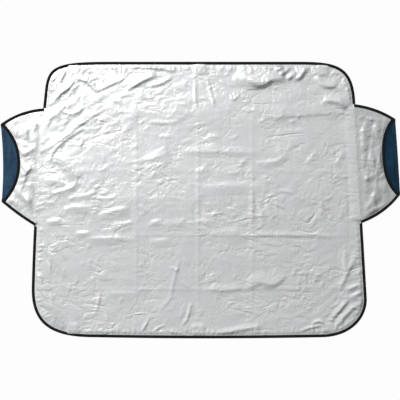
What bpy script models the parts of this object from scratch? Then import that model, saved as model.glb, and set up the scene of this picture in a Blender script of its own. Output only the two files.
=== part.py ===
"""Windshield frost cover, lying flat on the ground with its silver face up.

A trapezoid sheet of silver-faced cloth is bound all round with black folded tape. A pocket is
sewn under each side edge: a blue back layer and a silver front layer with a concave mouth.
Six flat magnets sit under the sheet's top and bottom edges, each held by a small sewn patch.

+X runs across the car to the right, +Y up the glass towards the roof and +Z up. The origin is
the centre of the cover's outline, on the ground. Every outline runs clockwise seen from above,
so that its inner side is on the right.
"""
from collections import namedtuple

import bpy
import numpy as np
from mathutils import Vector
from mathutils.geometry import delaunay_2d_cdt

# Cloth and tape
SHEET = 0.0006
POCKET_CLOTH = 0.0005
TAPE = 0.0005
BINDING_WIDTH = 0.0105
TAPE_BEND = 0.00035
GAP = 0.0003
HEM_WIDTH = 0.009
MOUTH_ROOM = 0.0011

# Panel outline, to the outer face of its binding
PANEL_HEIGHT = 1.213
BOTTOM_BOW = 0.005
TOP_HALF_LEFT = 0.668
TOP_HALF_RIGHT = 0.673
BOTTOM_HALF_LEFT = 0.744
BOTTOM_HALF_RIGHT = 0.744
SIDE_BOW_LEFT = 0.018
SIDE_BOW_RIGHT = 0.0

# Each corner leaves the side and the edge at its runs, and each pull is a share of that run
Corner = namedtuple("Corner", "side_run edge_run side_pull edge_pull")
TOP_LEFT_CORNER = Corner(0.122, 0.274, 0.88, 0.85)
TOP_RIGHT_CORNER = Corner(0.174, 0.235, 0.91, 0.68)
BOTTOM_LEFT_CORNER = Corner(0.218, 0.285, 0.87, 0.55)
BOTTOM_RIGHT_CORNER = Corner(0.172, 0.214, 0.44, 0.68)

# Seam between the panel and each pocket
SEAM_INSET = 0.0065
SEAM_ALLOWANCE = 0.012
SEAM_START = 0.025
SEAM_SHELF = 0.016
SEAM_SLOPE = 0.060
SEAM_CLIMB_START = 0.003
SEAM_CLIMB_END = 0.022

# Side pockets: heights where their edges meet the seam, tips as (reach past the panel, height), and bows
Pocket = namedtuple(
    "Pocket",
    "top_height bottom_height top_tip bottom_tip top_bow bottom_bow hem_bow mouth_depth mouth_power",
)
LEFT_POCKET = Pocket(0.404, -0.116, (0.1802, 0.3345), (0.1488, -0.008), 0.0153, 0.002, -0.0085, 0.072, 2.2)
RIGHT_POCKET = Pocket(0.4226, -0.1025, (0.1685, 0.3577), (0.1707, 0.023), 0.0114, 0.016, 0.0, 0.058, 2.8)
POCKET_LOFT = 0.009
LOFT_START = 0.012
LOFT_REACH = 0.075
LOFT_SHOULDER = 0.090
HEM_RIPPLE = 0.0016
HEM_RIPPLE_REACH = 0.045
HEM_RIPPLE_PITCH = 0.110

# Magnets: places as (x, depth below the edge line), the outer ones set in from the panel's ends
MAGNET = (0.025, 0.018, 0.002)
MAGNET_EDGE = 0.0003
PATCH_SIZE = 0.032
MAGNET_MARGIN = 0.002
TOP_MAGNETS = {
    "left": (-TOP_HALF_LEFT + 0.114, 0.039),
    "middle": (0.0, 0.036),
    "right": (TOP_HALF_RIGHT - 0.134, 0.039),
}
BOTTOM_MAGNETS = {
    "left": (-BOTTOM_HALF_LEFT + 0.184, 0.040),
    "middle": (-0.008, 0.034),
    "right": (BOTTOM_HALF_RIGHT - 0.181, 0.044),
}

# Mesh steps
CORNER_STEPS = 10
SIDE_STEP = 0.060
EDGE_STEP = 0.070
POCKET_EDGE_STEPS = 7
MOUTH_STEPS = 18
FILL_STEP = 0.085
POCKET_FILL_STEP = 0.048
FILL_CLEARANCE = 0.42
FILL_ROW_SHARE = 0.866
SNAP = 0.0006

# Folds of the laid sheet: crest points, half width and height
FOLD_STEP = 0.024
FOLD_STEP_PER_WIDTH = 1.5
FOLD_SHARPNESS = 1.5
Fold = namedtuple("Fold", "crest width height")
CORNER_FOLDS = [
    Fold([(-0.640, 0.436), (-0.605, 0.472), (-0.569, 0.498), (-0.552, 0.529)], 0.012, 0.008),
    Fold([(-0.552, 0.527), (-0.495, 0.520), (-0.451, 0.476), (-0.407, 0.498), (-0.332, 0.533)], 0.010, 0.005),
    Fold([(-0.591, 0.573), (-0.613, 0.516)], 0.009, 0.005),
    Fold([(-0.644, 0.533), (-0.662, 0.463)], 0.008, 0.005),
    Fold([(-0.618, 0.401), (-0.592, 0.382), (-0.534, 0.382)], 0.014, 0.004),
    Fold([(0.548, 0.436), (0.619, 0.432), (0.654, 0.401)], 0.014, 0.008),
    Fold([(-0.714, -0.333), (-0.693, -0.404), (-0.653, -0.474), (-0.591, -0.558)], 0.020, 0.010),
    Fold([(-0.701, -0.175), (-0.657, -0.246), (-0.596, -0.338)], 0.018, 0.005),
    Fold([(-0.662, -0.162), (-0.591, -0.263)], 0.016, 0.004),
    Fold([(0.575, -0.528), (0.614, -0.492), (0.658, -0.435)], 0.016, 0.008),
    Fold([(0.598, -0.568), (0.636, -0.518), (0.693, -0.461)], 0.020, 0.008),
    Fold([(0.636, -0.391), (0.707, -0.364)], 0.012, 0.007),
    Fold([(0.649, -0.426), (0.707, -0.400)], 0.012, 0.007),
    Fold([(0.614, -0.400), (0.649, -0.329), (0.689, -0.246)], 0.016, 0.006),
    Fold([(0.634, -0.215), (0.636, -0.334)], 0.014, 0.005),
]
TOP_FOLDS = [
    Fold([(-0.363, 0.584), (-0.178, 0.577), (-0.107, 0.564)], 0.013, 0.008),
    Fold([(-0.319, 0.480), (-0.253, 0.520), (-0.191, 0.546)], 0.016, 0.008),
    Fold([(-0.222, 0.498), (-0.125, 0.533), (-0.081, 0.551)], 0.014, 0.005),
    Fold([(-0.045, 0.524), (-0.030, 0.546)], 0.009, 0.005),
    Fold([(0.029, 0.538), (0.051, 0.467), (0.064, 0.406)], 0.016, 0.006),
    Fold([(-0.019, 0.529), (-0.019, 0.414)], 0.014, 0.004),
    Fold([(0.077, 0.529), (0.113, 0.507), (0.130, 0.441)], 0.012, 0.005),
    Fold([(0.170, 0.555), (0.205, 0.516), (0.253, 0.494), (0.297, 0.494), (0.385, 0.529)], 0.022, 0.012),
    Fold([(0.346, 0.584), (0.394, 0.555), (0.438, 0.529), (0.473, 0.584)], 0.014, 0.009),
    Fold([(0.487, 0.584), (0.513, 0.547), (0.545, 0.528), (0.560, 0.498), (0.605, 0.494)], 0.012, 0.008),
    Fold([(0.271, 0.357), (0.438, 0.375), (0.614, 0.388)], 0.030, 0.005),
]
BOTTOM_FOLDS = [
    Fold([(-0.437, -0.400), (-0.459, -0.505)], 0.016, 0.004),
    Fold([(-0.420, -0.496), (-0.371, -0.584)], 0.016, 0.004),
    Fold([(-0.257, -0.584), (-0.226, -0.527)], 0.010, 0.007),
    Fold([(-0.182, -0.496), (-0.134, -0.439), (-0.121, -0.386), (-0.090, -0.263)], 0.014, 0.005),
    Fold([(-0.077, -0.554), (-0.055, -0.523), (-0.037, -0.457)], 0.012, 0.007),
    Fold([(-0.213, -0.584), (-0.178, -0.562), (-0.151, -0.549)], 0.009, 0.006),
    Fold([(0.095, -0.586), (0.174, -0.575), (0.271, -0.558), (0.350, -0.554)], 0.020, 0.009),
    Fold([(0.438, -0.578), (0.491, -0.563), (0.526, -0.540)], 0.012, 0.007),
    Fold([(0.240, -0.391), (0.271, -0.369), (0.372, -0.364)], 0.016, 0.006),
    Fold([(0.271, -0.303), (0.306, -0.356)], 0.020, 0.005),
]
MIDDLE_FOLDS = [
    Fold([(-0.495, 0.357), (-0.596, 0.309), (-0.672, 0.243)], 0.030, 0.009),
    Fold([(-0.591, 0.269), (-0.671, 0.186)], 0.025, 0.008),
    Fold([(-0.481, 0.348), (-0.512, 0.278), (-0.525, 0.225)], 0.022, 0.007),
    Fold([(-0.600, 0.155), (-0.527, 0.088)], 0.022, 0.007),
    Fold([(-0.508, -0.162), (-0.288, -0.166)], 0.020, 0.005),
    Fold([(-0.442, -0.070), (-0.376, -0.039), (-0.319, -0.034)], 0.018, 0.004),
    Fold([(-0.178, -0.122), (0.064, -0.118)], 0.022, 0.005),
    Fold([(-0.266, 0.142), (-0.156, 0.168)], 0.024, 0.005),
    Fold([(-0.024, 0.067), (0.064, 0.067), (0.218, 0.076)], 0.022, 0.004),
    Fold([(0.372, 0.208), (0.328, 0.177), (0.240, 0.168)], 0.018, 0.005),
    Fold([(0.504, 0.221), (0.460, 0.155)], 0.016, 0.004),
    Fold([(0.623, 0.221), (0.588, 0.155)], 0.016, 0.004),
    Fold([(0.253, 0.001), (0.271, -0.096)], 0.018, 0.004),
    Fold([(0.438, -0.168), (0.600, -0.158)], 0.016, 0.005),
]
# Packing creases run straight across the sheet
CREASE_WIDTH = 0.040
CREASE_HEIGHT = 0.0025
CREASES = [
    Fold([(-0.279, 0.560), (-0.279, -0.575)], CREASE_WIDTH, CREASE_HEIGHT),
    Fold([(-0.004, 0.380), (-0.004, -0.545)], CREASE_WIDTH, CREASE_HEIGHT),
    Fold([(0.262, 0.440), (0.262, -0.530)], CREASE_WIDTH, CREASE_HEIGHT),
    Fold([(-0.640, 0.120), (0.640, 0.120)], CREASE_WIDTH, CREASE_HEIGHT),
    Fold([(-0.700, -0.158), (0.690, -0.158)], CREASE_WIDTH, CREASE_HEIGHT),
    Fold([(-0.600, -0.395), (0.600, -0.395)], CREASE_WIDTH, CREASE_HEIGHT),
]
# Rows of short gathers, where the tape draws the cloth in: ends of the row, run and lean of each
Gathers = namedtuple("Gathers", "start end count run lean width height")
GATHER_ROWS = [
    Gathers((0.075, 0.589), (0.335, 0.589), 10, 0.050, 0.014, 0.008, 0.0045),
    Gathers((0.590, 0.570), (0.655, 0.510), 3, 0.045, -0.020, 0.008, 0.004),
    Gathers((-0.640, 0.540), (-0.575, 0.580), 3, 0.050, -0.012, 0.008, 0.005),
    Gathers((-0.170, -0.590), (-0.060, -0.590), 4, -0.040, 0.010, 0.008, 0.004),
    Gathers((0.380, -0.588), (0.480, -0.588), 3, -0.030, 0.020, 0.008, 0.004),
]
# The pocket fronts crease across: points as (share of the way out, share of the height)
POCKET_FOLDS = [
    Fold([(0.15, 0.85), (0.45, 0.62), (0.62, 0.70)], 0.016, 0.004),
    Fold([(0.20, 0.52), (0.42, 0.36), (0.50, 0.20)], 0.018, 0.005),
    Fold([(0.50, 0.55), (0.58, 0.36)], 0.014, 0.004),
    Fold([(0.12, 0.24), (0.36, 0.12)], 0.014, 0.004),
]

# Heights of the undersides of the layers, over the ground
PANEL_LOW = TAPE + GAP
BACK_LOW = TAPE + GAP
FRONT_LOW = BACK_LOW + POCKET_CLOTH + MOUTH_ROOM
SEAM_LOW = FRONT_LOW + POCKET_CLOTH + GAP
PANEL_BINDING_TOP = PANEL_LOW + SHEET + GAP + TAPE
POCKET_BINDING_TOP = FRONT_LOW + POCKET_CLOTH + GAP + TAPE
MAGNET_LIFT = POCKET_CLOTH + GAP + MAGNET[2] + GAP - PANEL_LOW
EDGE_INSET = TAPE + GAP
FLAT_MARGIN = BINDING_WIDTH + 0.0015
FOLD_FADE = 0.012
TOP_Y = (PANEL_HEIGHT + BOTTOM_BOW) / 2
BOTTOM_Y = TOP_Y - PANEL_HEIGHT
MIRROR = np.array([-1.0, 1.0])


def clear_scene():
    for item in list(bpy.data.objects):
        bpy.data.objects.remove(item, do_unlink=True)


def smooth(value):
    t = np.clip(value, 0.0, 1.0)
    return t * t * (3.0 - 2.0 * t)


def unit(vector):
    return vector / np.linalg.norm(vector)


def steps(length, step):
    return max(2, int(round(length / step)) + 1)


def straight(start, end, count):
    share = np.linspace(0.0, 1.0, count)[:, None]
    return np.asarray(start) * (1.0 - share) + np.asarray(end) * share


def arch(start, end, rise, away_from, count):
    """A shallow bow between two points, bulging away from a third where the rise is positive."""
    line = straight(start, end, count)
    run = unit(np.asarray(end) - np.asarray(start))
    across = np.array([-run[1], run[0]])
    if np.dot(across, line.mean(axis=0) - np.asarray(away_from)) < 0.0:
        across = -across
    share = np.linspace(0.0, 1.0, count)
    return line + across * (rise * 4.0 * share * (1.0 - share))[:, None]


def cubic(start, pull_out, pull_in, end, count):
    t = np.linspace(0.0, 1.0, count)[:, None]
    s = 1.0 - t
    return s**3 * start + 3 * s * s * t * pull_out + 3 * s * t * t * pull_in + t**3 * end


def inner_normals(path):
    """Vectors to the path's inner side, long enough to keep a strip's width round each bend."""
    along = np.diff(path, axis=0)
    along /= np.linalg.norm(along, axis=1)[:, None]
    side = np.stack([along[:, 1], -along[:, 0]], axis=1)
    before = np.vstack([side[:1], side])
    after = np.vstack([side, side[-1:]])
    mean = before + after
    mean /= np.linalg.norm(mean, axis=1)[:, None]
    return mean / np.sum(mean * after, axis=1)[:, None]


def mitred(path, start_run, end_run):
    """Across vectors of a strip whose ends are cut along the given directions."""
    across = inner_normals(path)
    for index, run in ((0, start_run), (-1, end_run)):
        across[index] = unit(run) / np.dot(unit(run), unit(across[index]))
    return across


def inset(path, depth):
    return path + inner_normals(path) * depth


def resample(path, step):
    pieces = [straight(a, b, steps(np.linalg.norm(b - a), step))[:-1] for a, b in zip(path[:-1], path[1:])]
    return np.vstack(pieces + [path[-1:]])


def along_and_off(points, path):
    """For each point, how far along the path it lies, from 0 to 1, and how far off the path."""
    start, run = path[:-1], np.diff(path, axis=0)
    length = np.linalg.norm(run, axis=1)
    from_start = points[:, None, :] - start[None]
    share = np.clip(np.sum(from_start * run, axis=2) / length**2, 0.0, 1.0)
    off = np.linalg.norm(from_start - share[:, :, None] * run, axis=2)
    nearest = off.argmin(axis=1)
    rows = np.arange(len(points))
    walked = np.concatenate([[0.0], np.cumsum(length)])
    along = (walked[nearest] + share[rows, nearest] * length[nearest]) / walked[-1]
    return along, off[rows, nearest]


def join_at_crossing(first, second):
    """The first path up to where it crosses the second, then the rest of the second."""
    for i in range(len(first) - 2, -1, -1):
        a, run_a = first[i], first[i + 1] - first[i]
        for j in range(len(second) - 1):
            c, run_c = second[j], second[j + 1] - second[j]
            turn = run_a[0] * run_c[1] - run_a[1] * run_c[0]
            if turn == 0.0:
                continue
            gap = c - a
            s = (gap[0] * run_c[1] - gap[1] * run_c[0]) / turn
            t = (gap[0] * run_a[1] - gap[1] * run_a[0]) / turn
            if 0.0 <= s <= 1.0 and 0.0 <= t <= 1.0:
                return np.vstack([first[: i + 1], a + run_a * s, second[j + 1 :]])
    return np.vstack([first, second])


def inside(points, outline):
    """Even-odd test of points against a closed outline."""
    result = np.zeros(len(points), bool)
    x, y = points[:, 0], points[:, 1]
    for (ax, ay), (bx, by) in zip(outline, np.roll(outline, -1, axis=0)):
        if ay == by:
            continue
        crosses = (ay > y) != (by > y)
        result ^= crosses & (x < (bx - ax) * (y - ay) / (by - ay) + ax)
    return result


def fill_points(outline, taken, step):
    """A staggered grid inside the outline, clear of the points that are already there."""
    low, high = outline.min(axis=0), outline.max(axis=0)
    rows = []
    for number, y in enumerate(np.arange(low[1], high[1], step * FILL_ROW_SHARE)):
        shift = step / 2 if number % 2 else 0.0
        xs = np.arange(low[0] + shift, high[0], step)
        rows.append(np.stack([xs, np.full_like(xs, y)], axis=1))
    grid = np.vstack(rows)
    grid = grid[inside(grid, outline)]
    edge = along_and_off(grid, np.vstack([outline, outline[:1]]))[1]
    near = np.linalg.norm(grid[:, None] - taken[None], axis=2).min(axis=1)
    return grid[(edge > step * FILL_CLEARANCE) & (near > step * FILL_CLEARANCE)]


def triangulated(outline, lines, loose):
    """Corner points and triangles of a sheet that fills the outline and keeps the lines as edges."""
    points = list(outline)
    edges = [(i, (i + 1) % len(outline)) for i in range(len(outline))]
    for line in lines:
        first = len(points)
        points.extend(line)
        edges.extend((first + i, first + i + 1) for i in range(len(line) - 1))
    points.extend(loose)
    face = list(reversed(range(len(outline))))
    corners, _, faces, *_ = delaunay_2d_cdt([Vector(p) for p in points], edges, [face], 1, SNAP)
    used = sorted({index for face in faces for index in face})
    renumbered = {index: number for number, index in enumerate(used)}
    faces = [tuple(renumbered[index] for index in face) for face in faces]
    return np.array([tuple(corners[index]) for index in used]), faces


def fold_height(points, fold):
    along, off = along_and_off(points, np.array(fold.crest))
    taper = np.sqrt(np.sin(np.pi * along).clip(0.0))
    return fold.height * taper * np.clip(1.0 - off / fold.width, 0.0, 1.0) ** FOLD_SHARPNESS


def fold_heights(points, folds):
    total = np.zeros(len(points))
    for fold in folds:
        total = np.maximum(total, fold_height(points, fold))
    return total


def fold_points(folds):
    """Crest lines for a sheet's edges, and loose points along both feet of every fold."""
    crests, feet = [], []
    for fold in folds:
        crest = resample(np.array(fold.crest), max(FOLD_STEP, fold.width * FOLD_STEP_PER_WIDTH))
        normals = inner_normals(crest)[1:-1]
        crests.append(crest)
        feet.append(crest[1:-1] + normals * fold.width)
        feet.append(crest[1:-1] - normals * fold.width)
    return crests, np.vstack(feet)


def gather_folds():
    """The short folds of every gathered row, each longer or shorter than the next in turn."""
    folds = []
    for row in GATHER_ROWS:
        for number, (x, y) in enumerate(straight(row.start, row.end, row.count)):
            run = row.run * (1.0 if number % 2 else 0.7)
            lean = row.lean * (1.0 if number % 3 else -0.4)
            crest = [(x, y), (x + lean / 2, y - run / 2), (x + lean, y - run)]
            folds.append(Fold(crest, row.width, row.height))
    return folds


class Side:
    """One side of the cover: its edge line, its seam and the outlines of its pocket."""

    def __init__(self, name, sign, top_half, bottom_half, bow, pocket):
        self.name = name
        self.sign = sign
        self.top_half = top_half
        self.bottom_half = bottom_half
        self.bow = bow
        self.pocket = pocket
        seam_top = np.array([self.out_at(pocket.top_height) - SEAM_INSET + GAP, pocket.top_height])
        seam_bottom = np.array([self.out_at(pocket.bottom_height) - SEAM_INSET + GAP, pocket.bottom_height])
        top_tip, bottom_tip = self.tip(pocket.top_tip), self.tip(pocket.bottom_tip)
        middle = (seam_top + seam_bottom + top_tip + bottom_tip) / 4
        self.top = arch(seam_top, top_tip, pocket.top_bow, middle, POCKET_EDGE_STEPS)
        self.bottom = arch(bottom_tip, seam_bottom, pocket.bottom_bow, middle, POCKET_EDGE_STEPS)
        self.hem = arch(top_tip, bottom_tip, pocket.hem_bow, middle, MOUTH_STEPS)
        share = np.linspace(-1.0, 1.0, MOUTH_STEPS)
        depth = pocket.mouth_depth * (1.0 - np.abs(share) ** pocket.mouth_power)
        chord = straight(top_tip, bottom_tip, MOUTH_STEPS)
        self.mouth = chord + unit(inner_normals(chord)[0]) * depth[:, None]
        self.cut_top = self.cut(self.top[0], self.top[1] - self.top[0], 1.0)
        self.cut_bottom = self.cut(self.bottom[-1], self.bottom[-2] - self.bottom[-1], -1.0)

    def out_at(self, y):
        """How far out the panel's edge line lies at a height."""
        share = (TOP_Y - y) / PANEL_HEIGHT
        return self.top_half + (self.bottom_half - self.top_half) * share + self.bow * 4 * share * (1 - share)

    def tip(self, place):
        """A pocket's corner, from its reach past the panel and its height."""
        reach, y = place
        return np.array([self.out_at(y) + reach, y])

    def cut(self, corner, run, up):
        """Where the panel's binding stops: on its edge line and on the seam, just off the pocket."""
        rise = run[1] / run[0]
        lift = up * GAP * np.hypot(1.0, rise)
        at_edge = corner[1] + lift + rise * SEAM_INSET
        at_seam = corner[1] + lift
        return np.array([[self.out_at(at_edge), at_edge], [self.out_at(at_seam) - SEAM_INSET, at_seam]])

    def seam_run(self, start_y, rise):
        """The seam's run from a height to another one above or below it."""
        return np.array([self.out_at(start_y + rise) - self.out_at(start_y), rise])

    def seam_line(self, inward):
        """The seam from top to bottom, moved towards the panel's middle, with the climb's stations."""
        top, bottom = self.cut_top[1][1], self.cut_bottom[1][1]
        middle = straight((top - SEAM_CLIMB_END,), (bottom + SEAM_CLIMB_END,), steps(top - bottom, SIDE_STEP))
        ends_top = [top, top - SEAM_CLIMB_START]
        ends_bottom = [bottom + SEAM_CLIMB_START, bottom]
        heights = np.concatenate([ends_top, middle[:, 0], ends_bottom])
        return np.array([(self.out_at(y) - SEAM_INSET - inward, y) for y in heights])

    def edge_run(self, start_y, end_y):
        count = steps(abs(start_y - end_y), SIDE_STEP)
        return np.array([(self.out_at(y), y) for y in np.linspace(start_y, end_y, count)])


LEFT = Side("left", -1.0, TOP_HALF_LEFT, BOTTOM_HALF_LEFT, SIDE_BOW_LEFT, LEFT_POCKET)
RIGHT = Side("right", 1.0, TOP_HALF_RIGHT, BOTTOM_HALF_RIGHT, SIDE_BOW_RIGHT, RIGHT_POCKET)


def corner_curve(side, corner, cut_y, edge_y, up):
    """The rounded corner from the side's edge line to the top or bottom edge, outwards on the right."""
    side_run = min(corner.side_run, abs(edge_y - cut_y) - BINDING_WIDTH)
    start_y = edge_y - up * side_run
    start = np.array([side.out_at(start_y), start_y])
    ahead = np.array([side.out_at(start_y + up * SIDE_STEP), start_y + up * SIDE_STEP])
    end = np.array([side.out_at(edge_y) - corner.edge_run, edge_y])
    pull_out = start + unit(ahead - start) * side_run * corner.side_pull
    pull_in = end + np.array([corner.edge_run * corner.edge_pull, 0.0])
    return cubic(start, pull_out, pull_in, end, CORNER_STEPS + 1)


def half_edge(side, corner, cut_point, edge_y, up):
    """Edge line from the pocket's cut, round the corner, to where the straight edge starts."""
    curve = corner_curve(side, corner, cut_point[1], edge_y, up)
    run = side.edge_run(cut_point[1], curve[0][1])
    return np.vstack([run[:-1], curve])


def panel_edges():
    """Outer lines of the top and the bottom binding, both clockwise."""
    top_left = half_edge(LEFT, TOP_LEFT_CORNER, LEFT.cut_top[0], TOP_Y, 1.0) * MIRROR
    top_right = half_edge(RIGHT, TOP_RIGHT_CORNER, RIGHT.cut_top[0], TOP_Y, 1.0)[::-1]
    bottom_right = half_edge(RIGHT, BOTTOM_RIGHT_CORNER, RIGHT.cut_bottom[0], BOTTOM_Y, -1.0)
    bottom_left = half_edge(LEFT, BOTTOM_LEFT_CORNER, LEFT.cut_bottom[0], BOTTOM_Y, -1.0)[::-1] * MIRROR
    top_count = steps(top_right[0][0] - top_left[-1][0], EDGE_STEP)
    bottom_count = steps(bottom_right[-1][0] - bottom_left[0][0], EDGE_STEP)
    top_run = straight(top_left[-1], top_right[0], top_count)[1:-1]
    bottom_run = arch(bottom_right[-1], bottom_left[0], BOTTOM_BOW, (0.0, TOP_Y), bottom_count)[1:-1]
    return np.vstack([top_left, top_run, top_right]), np.vstack([bottom_right, bottom_run, bottom_left])


TOP_EDGE, BOTTOM_EDGE = panel_edges()
TOP_ACROSS = mitred(
    TOP_EDGE, (LEFT.cut_top[1] - LEFT.cut_top[0]) * MIRROR, RIGHT.cut_top[1] - RIGHT.cut_top[0]
)
BOTTOM_ACROSS = mitred(
    BOTTOM_EDGE, RIGHT.cut_bottom[1] - RIGHT.cut_bottom[0], (LEFT.cut_bottom[1] - LEFT.cut_bottom[0]) * MIRROR
)


def magnet_places():
    places = {f"top_{name}": (x, TOP_Y - depth) for name, (x, depth) in TOP_MAGNETS.items()}
    places.update({f"bottom_{name}": (x, BOTTOM_Y + depth) for name, (x, depth) in BOTTOM_MAGNETS.items()})
    return places


def rectangle(centre, half_x, half_y):
    x, y = centre
    corners = [(-half_x, -half_y), (half_x, -half_y), (half_x, half_y), (-half_x, half_y), (-half_x, -half_y)]
    return np.array([(x + dx, y + dy) for dx, dy in corners])


def magnet_room():
    """Half sizes of the sheet's raised flat over each magnet."""
    return MAGNET[0] / 2 + MAGNET_MARGIN, MAGNET[1] / 2 + MAGNET_MARGIN


def magnet_lift(points):
    """Height that the magnets give the sheet: flat over each one and sloping to its stitch line."""
    flat_x, flat_y = magnet_room()
    total = np.zeros(len(points))
    for place in magnet_places().values():
        off = np.abs(points - np.array(place))
        slope_x = (PATCH_SIZE / 2 - off[:, 0]) / (PATCH_SIZE / 2 - flat_x)
        slope_y = (PATCH_SIZE / 2 - off[:, 1]) / (PATCH_SIZE / 2 - flat_y)
        total = np.maximum(total, MAGNET_LIFT * np.clip(np.minimum(slope_x, slope_y), 0.0, 1.0))
    return total


def magnet_clearance(points):
    """From 0 on a magnet's stitched square to 1 a fold's fade away from it."""
    total = np.ones(len(points))
    for place in magnet_places().values():
        off = np.max(np.abs(points - np.array(place)), axis=1) - PATCH_SIZE / 2
        total = np.minimum(total, smooth(off / FOLD_FADE))
    return total


def seam_climb(points):
    """Height that the panel gains where it lies on the two layers of each pocket."""
    total = np.zeros(len(points))
    for side in (LEFT, RIGHT):
        out = points[:, 0] * side.sign
        y = points[:, 1]
        inward = side.out_at(y) - SEAM_INSET - out
        room = np.minimum(side.cut_top[1][1] - y, y - side.cut_bottom[1][1])
        along = smooth((room - SEAM_CLIMB_START) / (SEAM_CLIMB_END - SEAM_CLIMB_START))
        across = 1.0 - smooth((inward - SEAM_SHELF) / SEAM_SLOPE)
        total = np.maximum(total, (SEAM_LOW - PANEL_LOW) * along * across)
    return total


def own_mesh(name, points, faces):
    mesh = bpy.data.meshes.new(name)
    mesh.from_pydata([tuple(p) for p in points], [], [tuple(f) for f in faces])
    mesh.update()
    return mesh


def material(name, colour, roughness, metallic):
    made = bpy.data.materials.new(name)
    made.use_nodes = True
    shader = made.node_tree.nodes["Principled BSDF"]
    shader.inputs["Base Color"].default_value = (*colour, 1.0)
    shader.inputs["Roughness"].default_value = roughness
    shader.inputs["Metallic"].default_value = metallic
    made.diffuse_color = (*colour, 1.0)
    return made


def add_object(name, mesh, finish, collection):
    made = bpy.data.objects.new(name, mesh)
    mesh.materials.append(finish)
    collection.objects.link(made)
    return made


def thicken(made, thickness):
    solid = made.modifiers.new("thickness", "SOLIDIFY")
    solid.thickness = thickness
    solid.offset = 0.0
    solid.use_rim = True


def add_sheet(name, corners, faces, low, thickness, finish, collection):
    """A cloth layer from its flat triangles and the height of its underside at each corner."""
    points = np.column_stack([corners, low + thickness / 2])
    made = add_object(name, own_mesh(name, points, faces), finish, collection)
    thicken(made, thickness)
    return made


def add_tape(name, path, across, low, high, finish, collection):
    """Folded tape round an edge: low and high give its outer faces' heights at plan points."""
    half = TAPE / 2
    bend = half + TAPE_BEND
    section = [
        (BINDING_WIDTH, low, half),
        (bend, low, half),
        (half, low, bend),
        (half, high, -bend),
        (bend, high, -half),
        (BINDING_WIDTH, high, -half),
    ]
    rows = []
    for depth, height, shift in section:
        plan = path + across * depth
        rows.append(np.column_stack([plan, height(plan) + shift]))
    count = len(path)
    faces = []
    for row in range(len(section) - 1):
        for i in range(count - 1):
            a = row * count + i
            faces.append((a, a + 1, a + count + 1, a + count))
    made = add_object(name, own_mesh(name, np.vstack(rows), faces), finish, collection)
    thicken(made, TAPE)
    return made


def level(height):
    return lambda points: np.full(len(points), height)


def fill_rest(outline, lines, points, step):
    """Loose points for a sheet: the given ones well inside the outline, then a staggered grid."""
    ring = np.vstack([outline, outline[:1]])
    points = points[inside(points, outline)]
    points = points[along_and_off(points, ring)[1] > FLAT_MARGIN + TAPE]
    taken = np.vstack([outline, *lines, points])
    return np.vstack([points, fill_points(outline, taken, step)])


def panel_outline():
    top, bottom = TOP_EDGE + TOP_ACROSS * EDGE_INSET, BOTTOM_EDGE + BOTTOM_ACROSS * EDGE_INSET
    return np.vstack([top, RIGHT.seam_line(0.0), bottom, LEFT.seam_line(0.0)[::-1] * MIRROR])


def panel_lines(folds):
    """Edges that the panel's mesh keeps: the flat margin, the seam shelves, the stitch squares."""
    flat_x, flat_y = magnet_room()
    lines = [inset(TOP_EDGE, FLAT_MARGIN)[1:-1], inset(BOTTOM_EDGE, FLAT_MARGIN)[1:-1]]
    for side in (LEFT, RIGHT):
        lines.append(side.seam_line(SEAM_SHELF)[1:-1] * [side.sign, 1.0])
    for place in magnet_places().values():
        lines.append(rectangle(place, PATCH_SIZE / 2, PATCH_SIZE / 2))
        lines.append(rectangle(place, flat_x, flat_y))
    crests, feet = fold_points(folds)
    return lines + crests, feet


def panel_low(points, folds):
    """Height of the panel's underside."""
    edges = np.minimum(along_and_off(points, TOP_EDGE)[1], along_and_off(points, BOTTOM_EDGE)[1])
    free = smooth((edges - FLAT_MARGIN) / FOLD_FADE) * magnet_clearance(points)
    return PANEL_LOW + seam_climb(points) + magnet_lift(points) + free * fold_heights(points, folds)


def add_panel(finish, collection):
    folds = CORNER_FOLDS + TOP_FOLDS + BOTTOM_FOLDS + MIDDLE_FOLDS + CREASES + gather_folds()
    outline = panel_outline()
    lines, feet = panel_lines(folds)
    corners, faces = triangulated(outline, lines, fill_rest(outline, lines, feet, FILL_STEP))
    add_sheet("main_panel", corners, faces, panel_low(corners, folds), SHEET, finish, collection)


def add_panel_bindings(finish, collection):
    for name, edge, across in (
        ("top_binding", TOP_EDGE, TOP_ACROSS),
        ("bottom_binding", BOTTOM_EDGE, BOTTOM_ACROSS),
    ):
        add_tape(name, edge, across, level(0.0), level(PANEL_BINDING_TOP), finish, collection)


def seam_tongue(side):
    """Inner edge of a pocket's layers: along the seam, and in under the panel between its ends."""
    top, bottom = side.pocket.top_height - SEAM_START, side.pocket.bottom_height + SEAM_START
    count = steps(top - bottom, SIDE_STEP)
    line = [(side.out_at(y) - SEAM_INSET - SEAM_ALLOWANCE, y) for y in np.linspace(bottom, top, count)]
    low_out = (side.out_at(bottom) - SEAM_INSET + GAP, bottom)
    high_out = (side.out_at(top) - SEAM_INSET + GAP, top)
    start = (side.out_at(side.pocket.bottom_height) - SEAM_INSET + GAP, side.pocket.bottom_height)
    end = (side.out_at(side.pocket.top_height) - SEAM_INSET + GAP, side.pocket.top_height)
    return np.array([start, low_out, *line, high_out, end])


def pocket_outline(side, outer, outer_inset):
    """Closed outline of a pocket layer whose outer edge is the mouth or the hem."""
    ring = inset(side.top, EDGE_INSET)
    for path in (inset(outer, outer_inset), inset(side.bottom, EDGE_INSET), seam_tongue(side)):
        ring = join_at_crossing(ring, path)
    return join_at_crossing(ring[-2:], ring[:-2])


def edge_room(side, points):
    """Distance from the nearer of a pocket's two bound edges, past the tape's inner edge."""
    near = np.minimum(along_and_off(points, side.top)[1], along_and_off(points, side.bottom)[1])
    return near - FLAT_MARGIN


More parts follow.
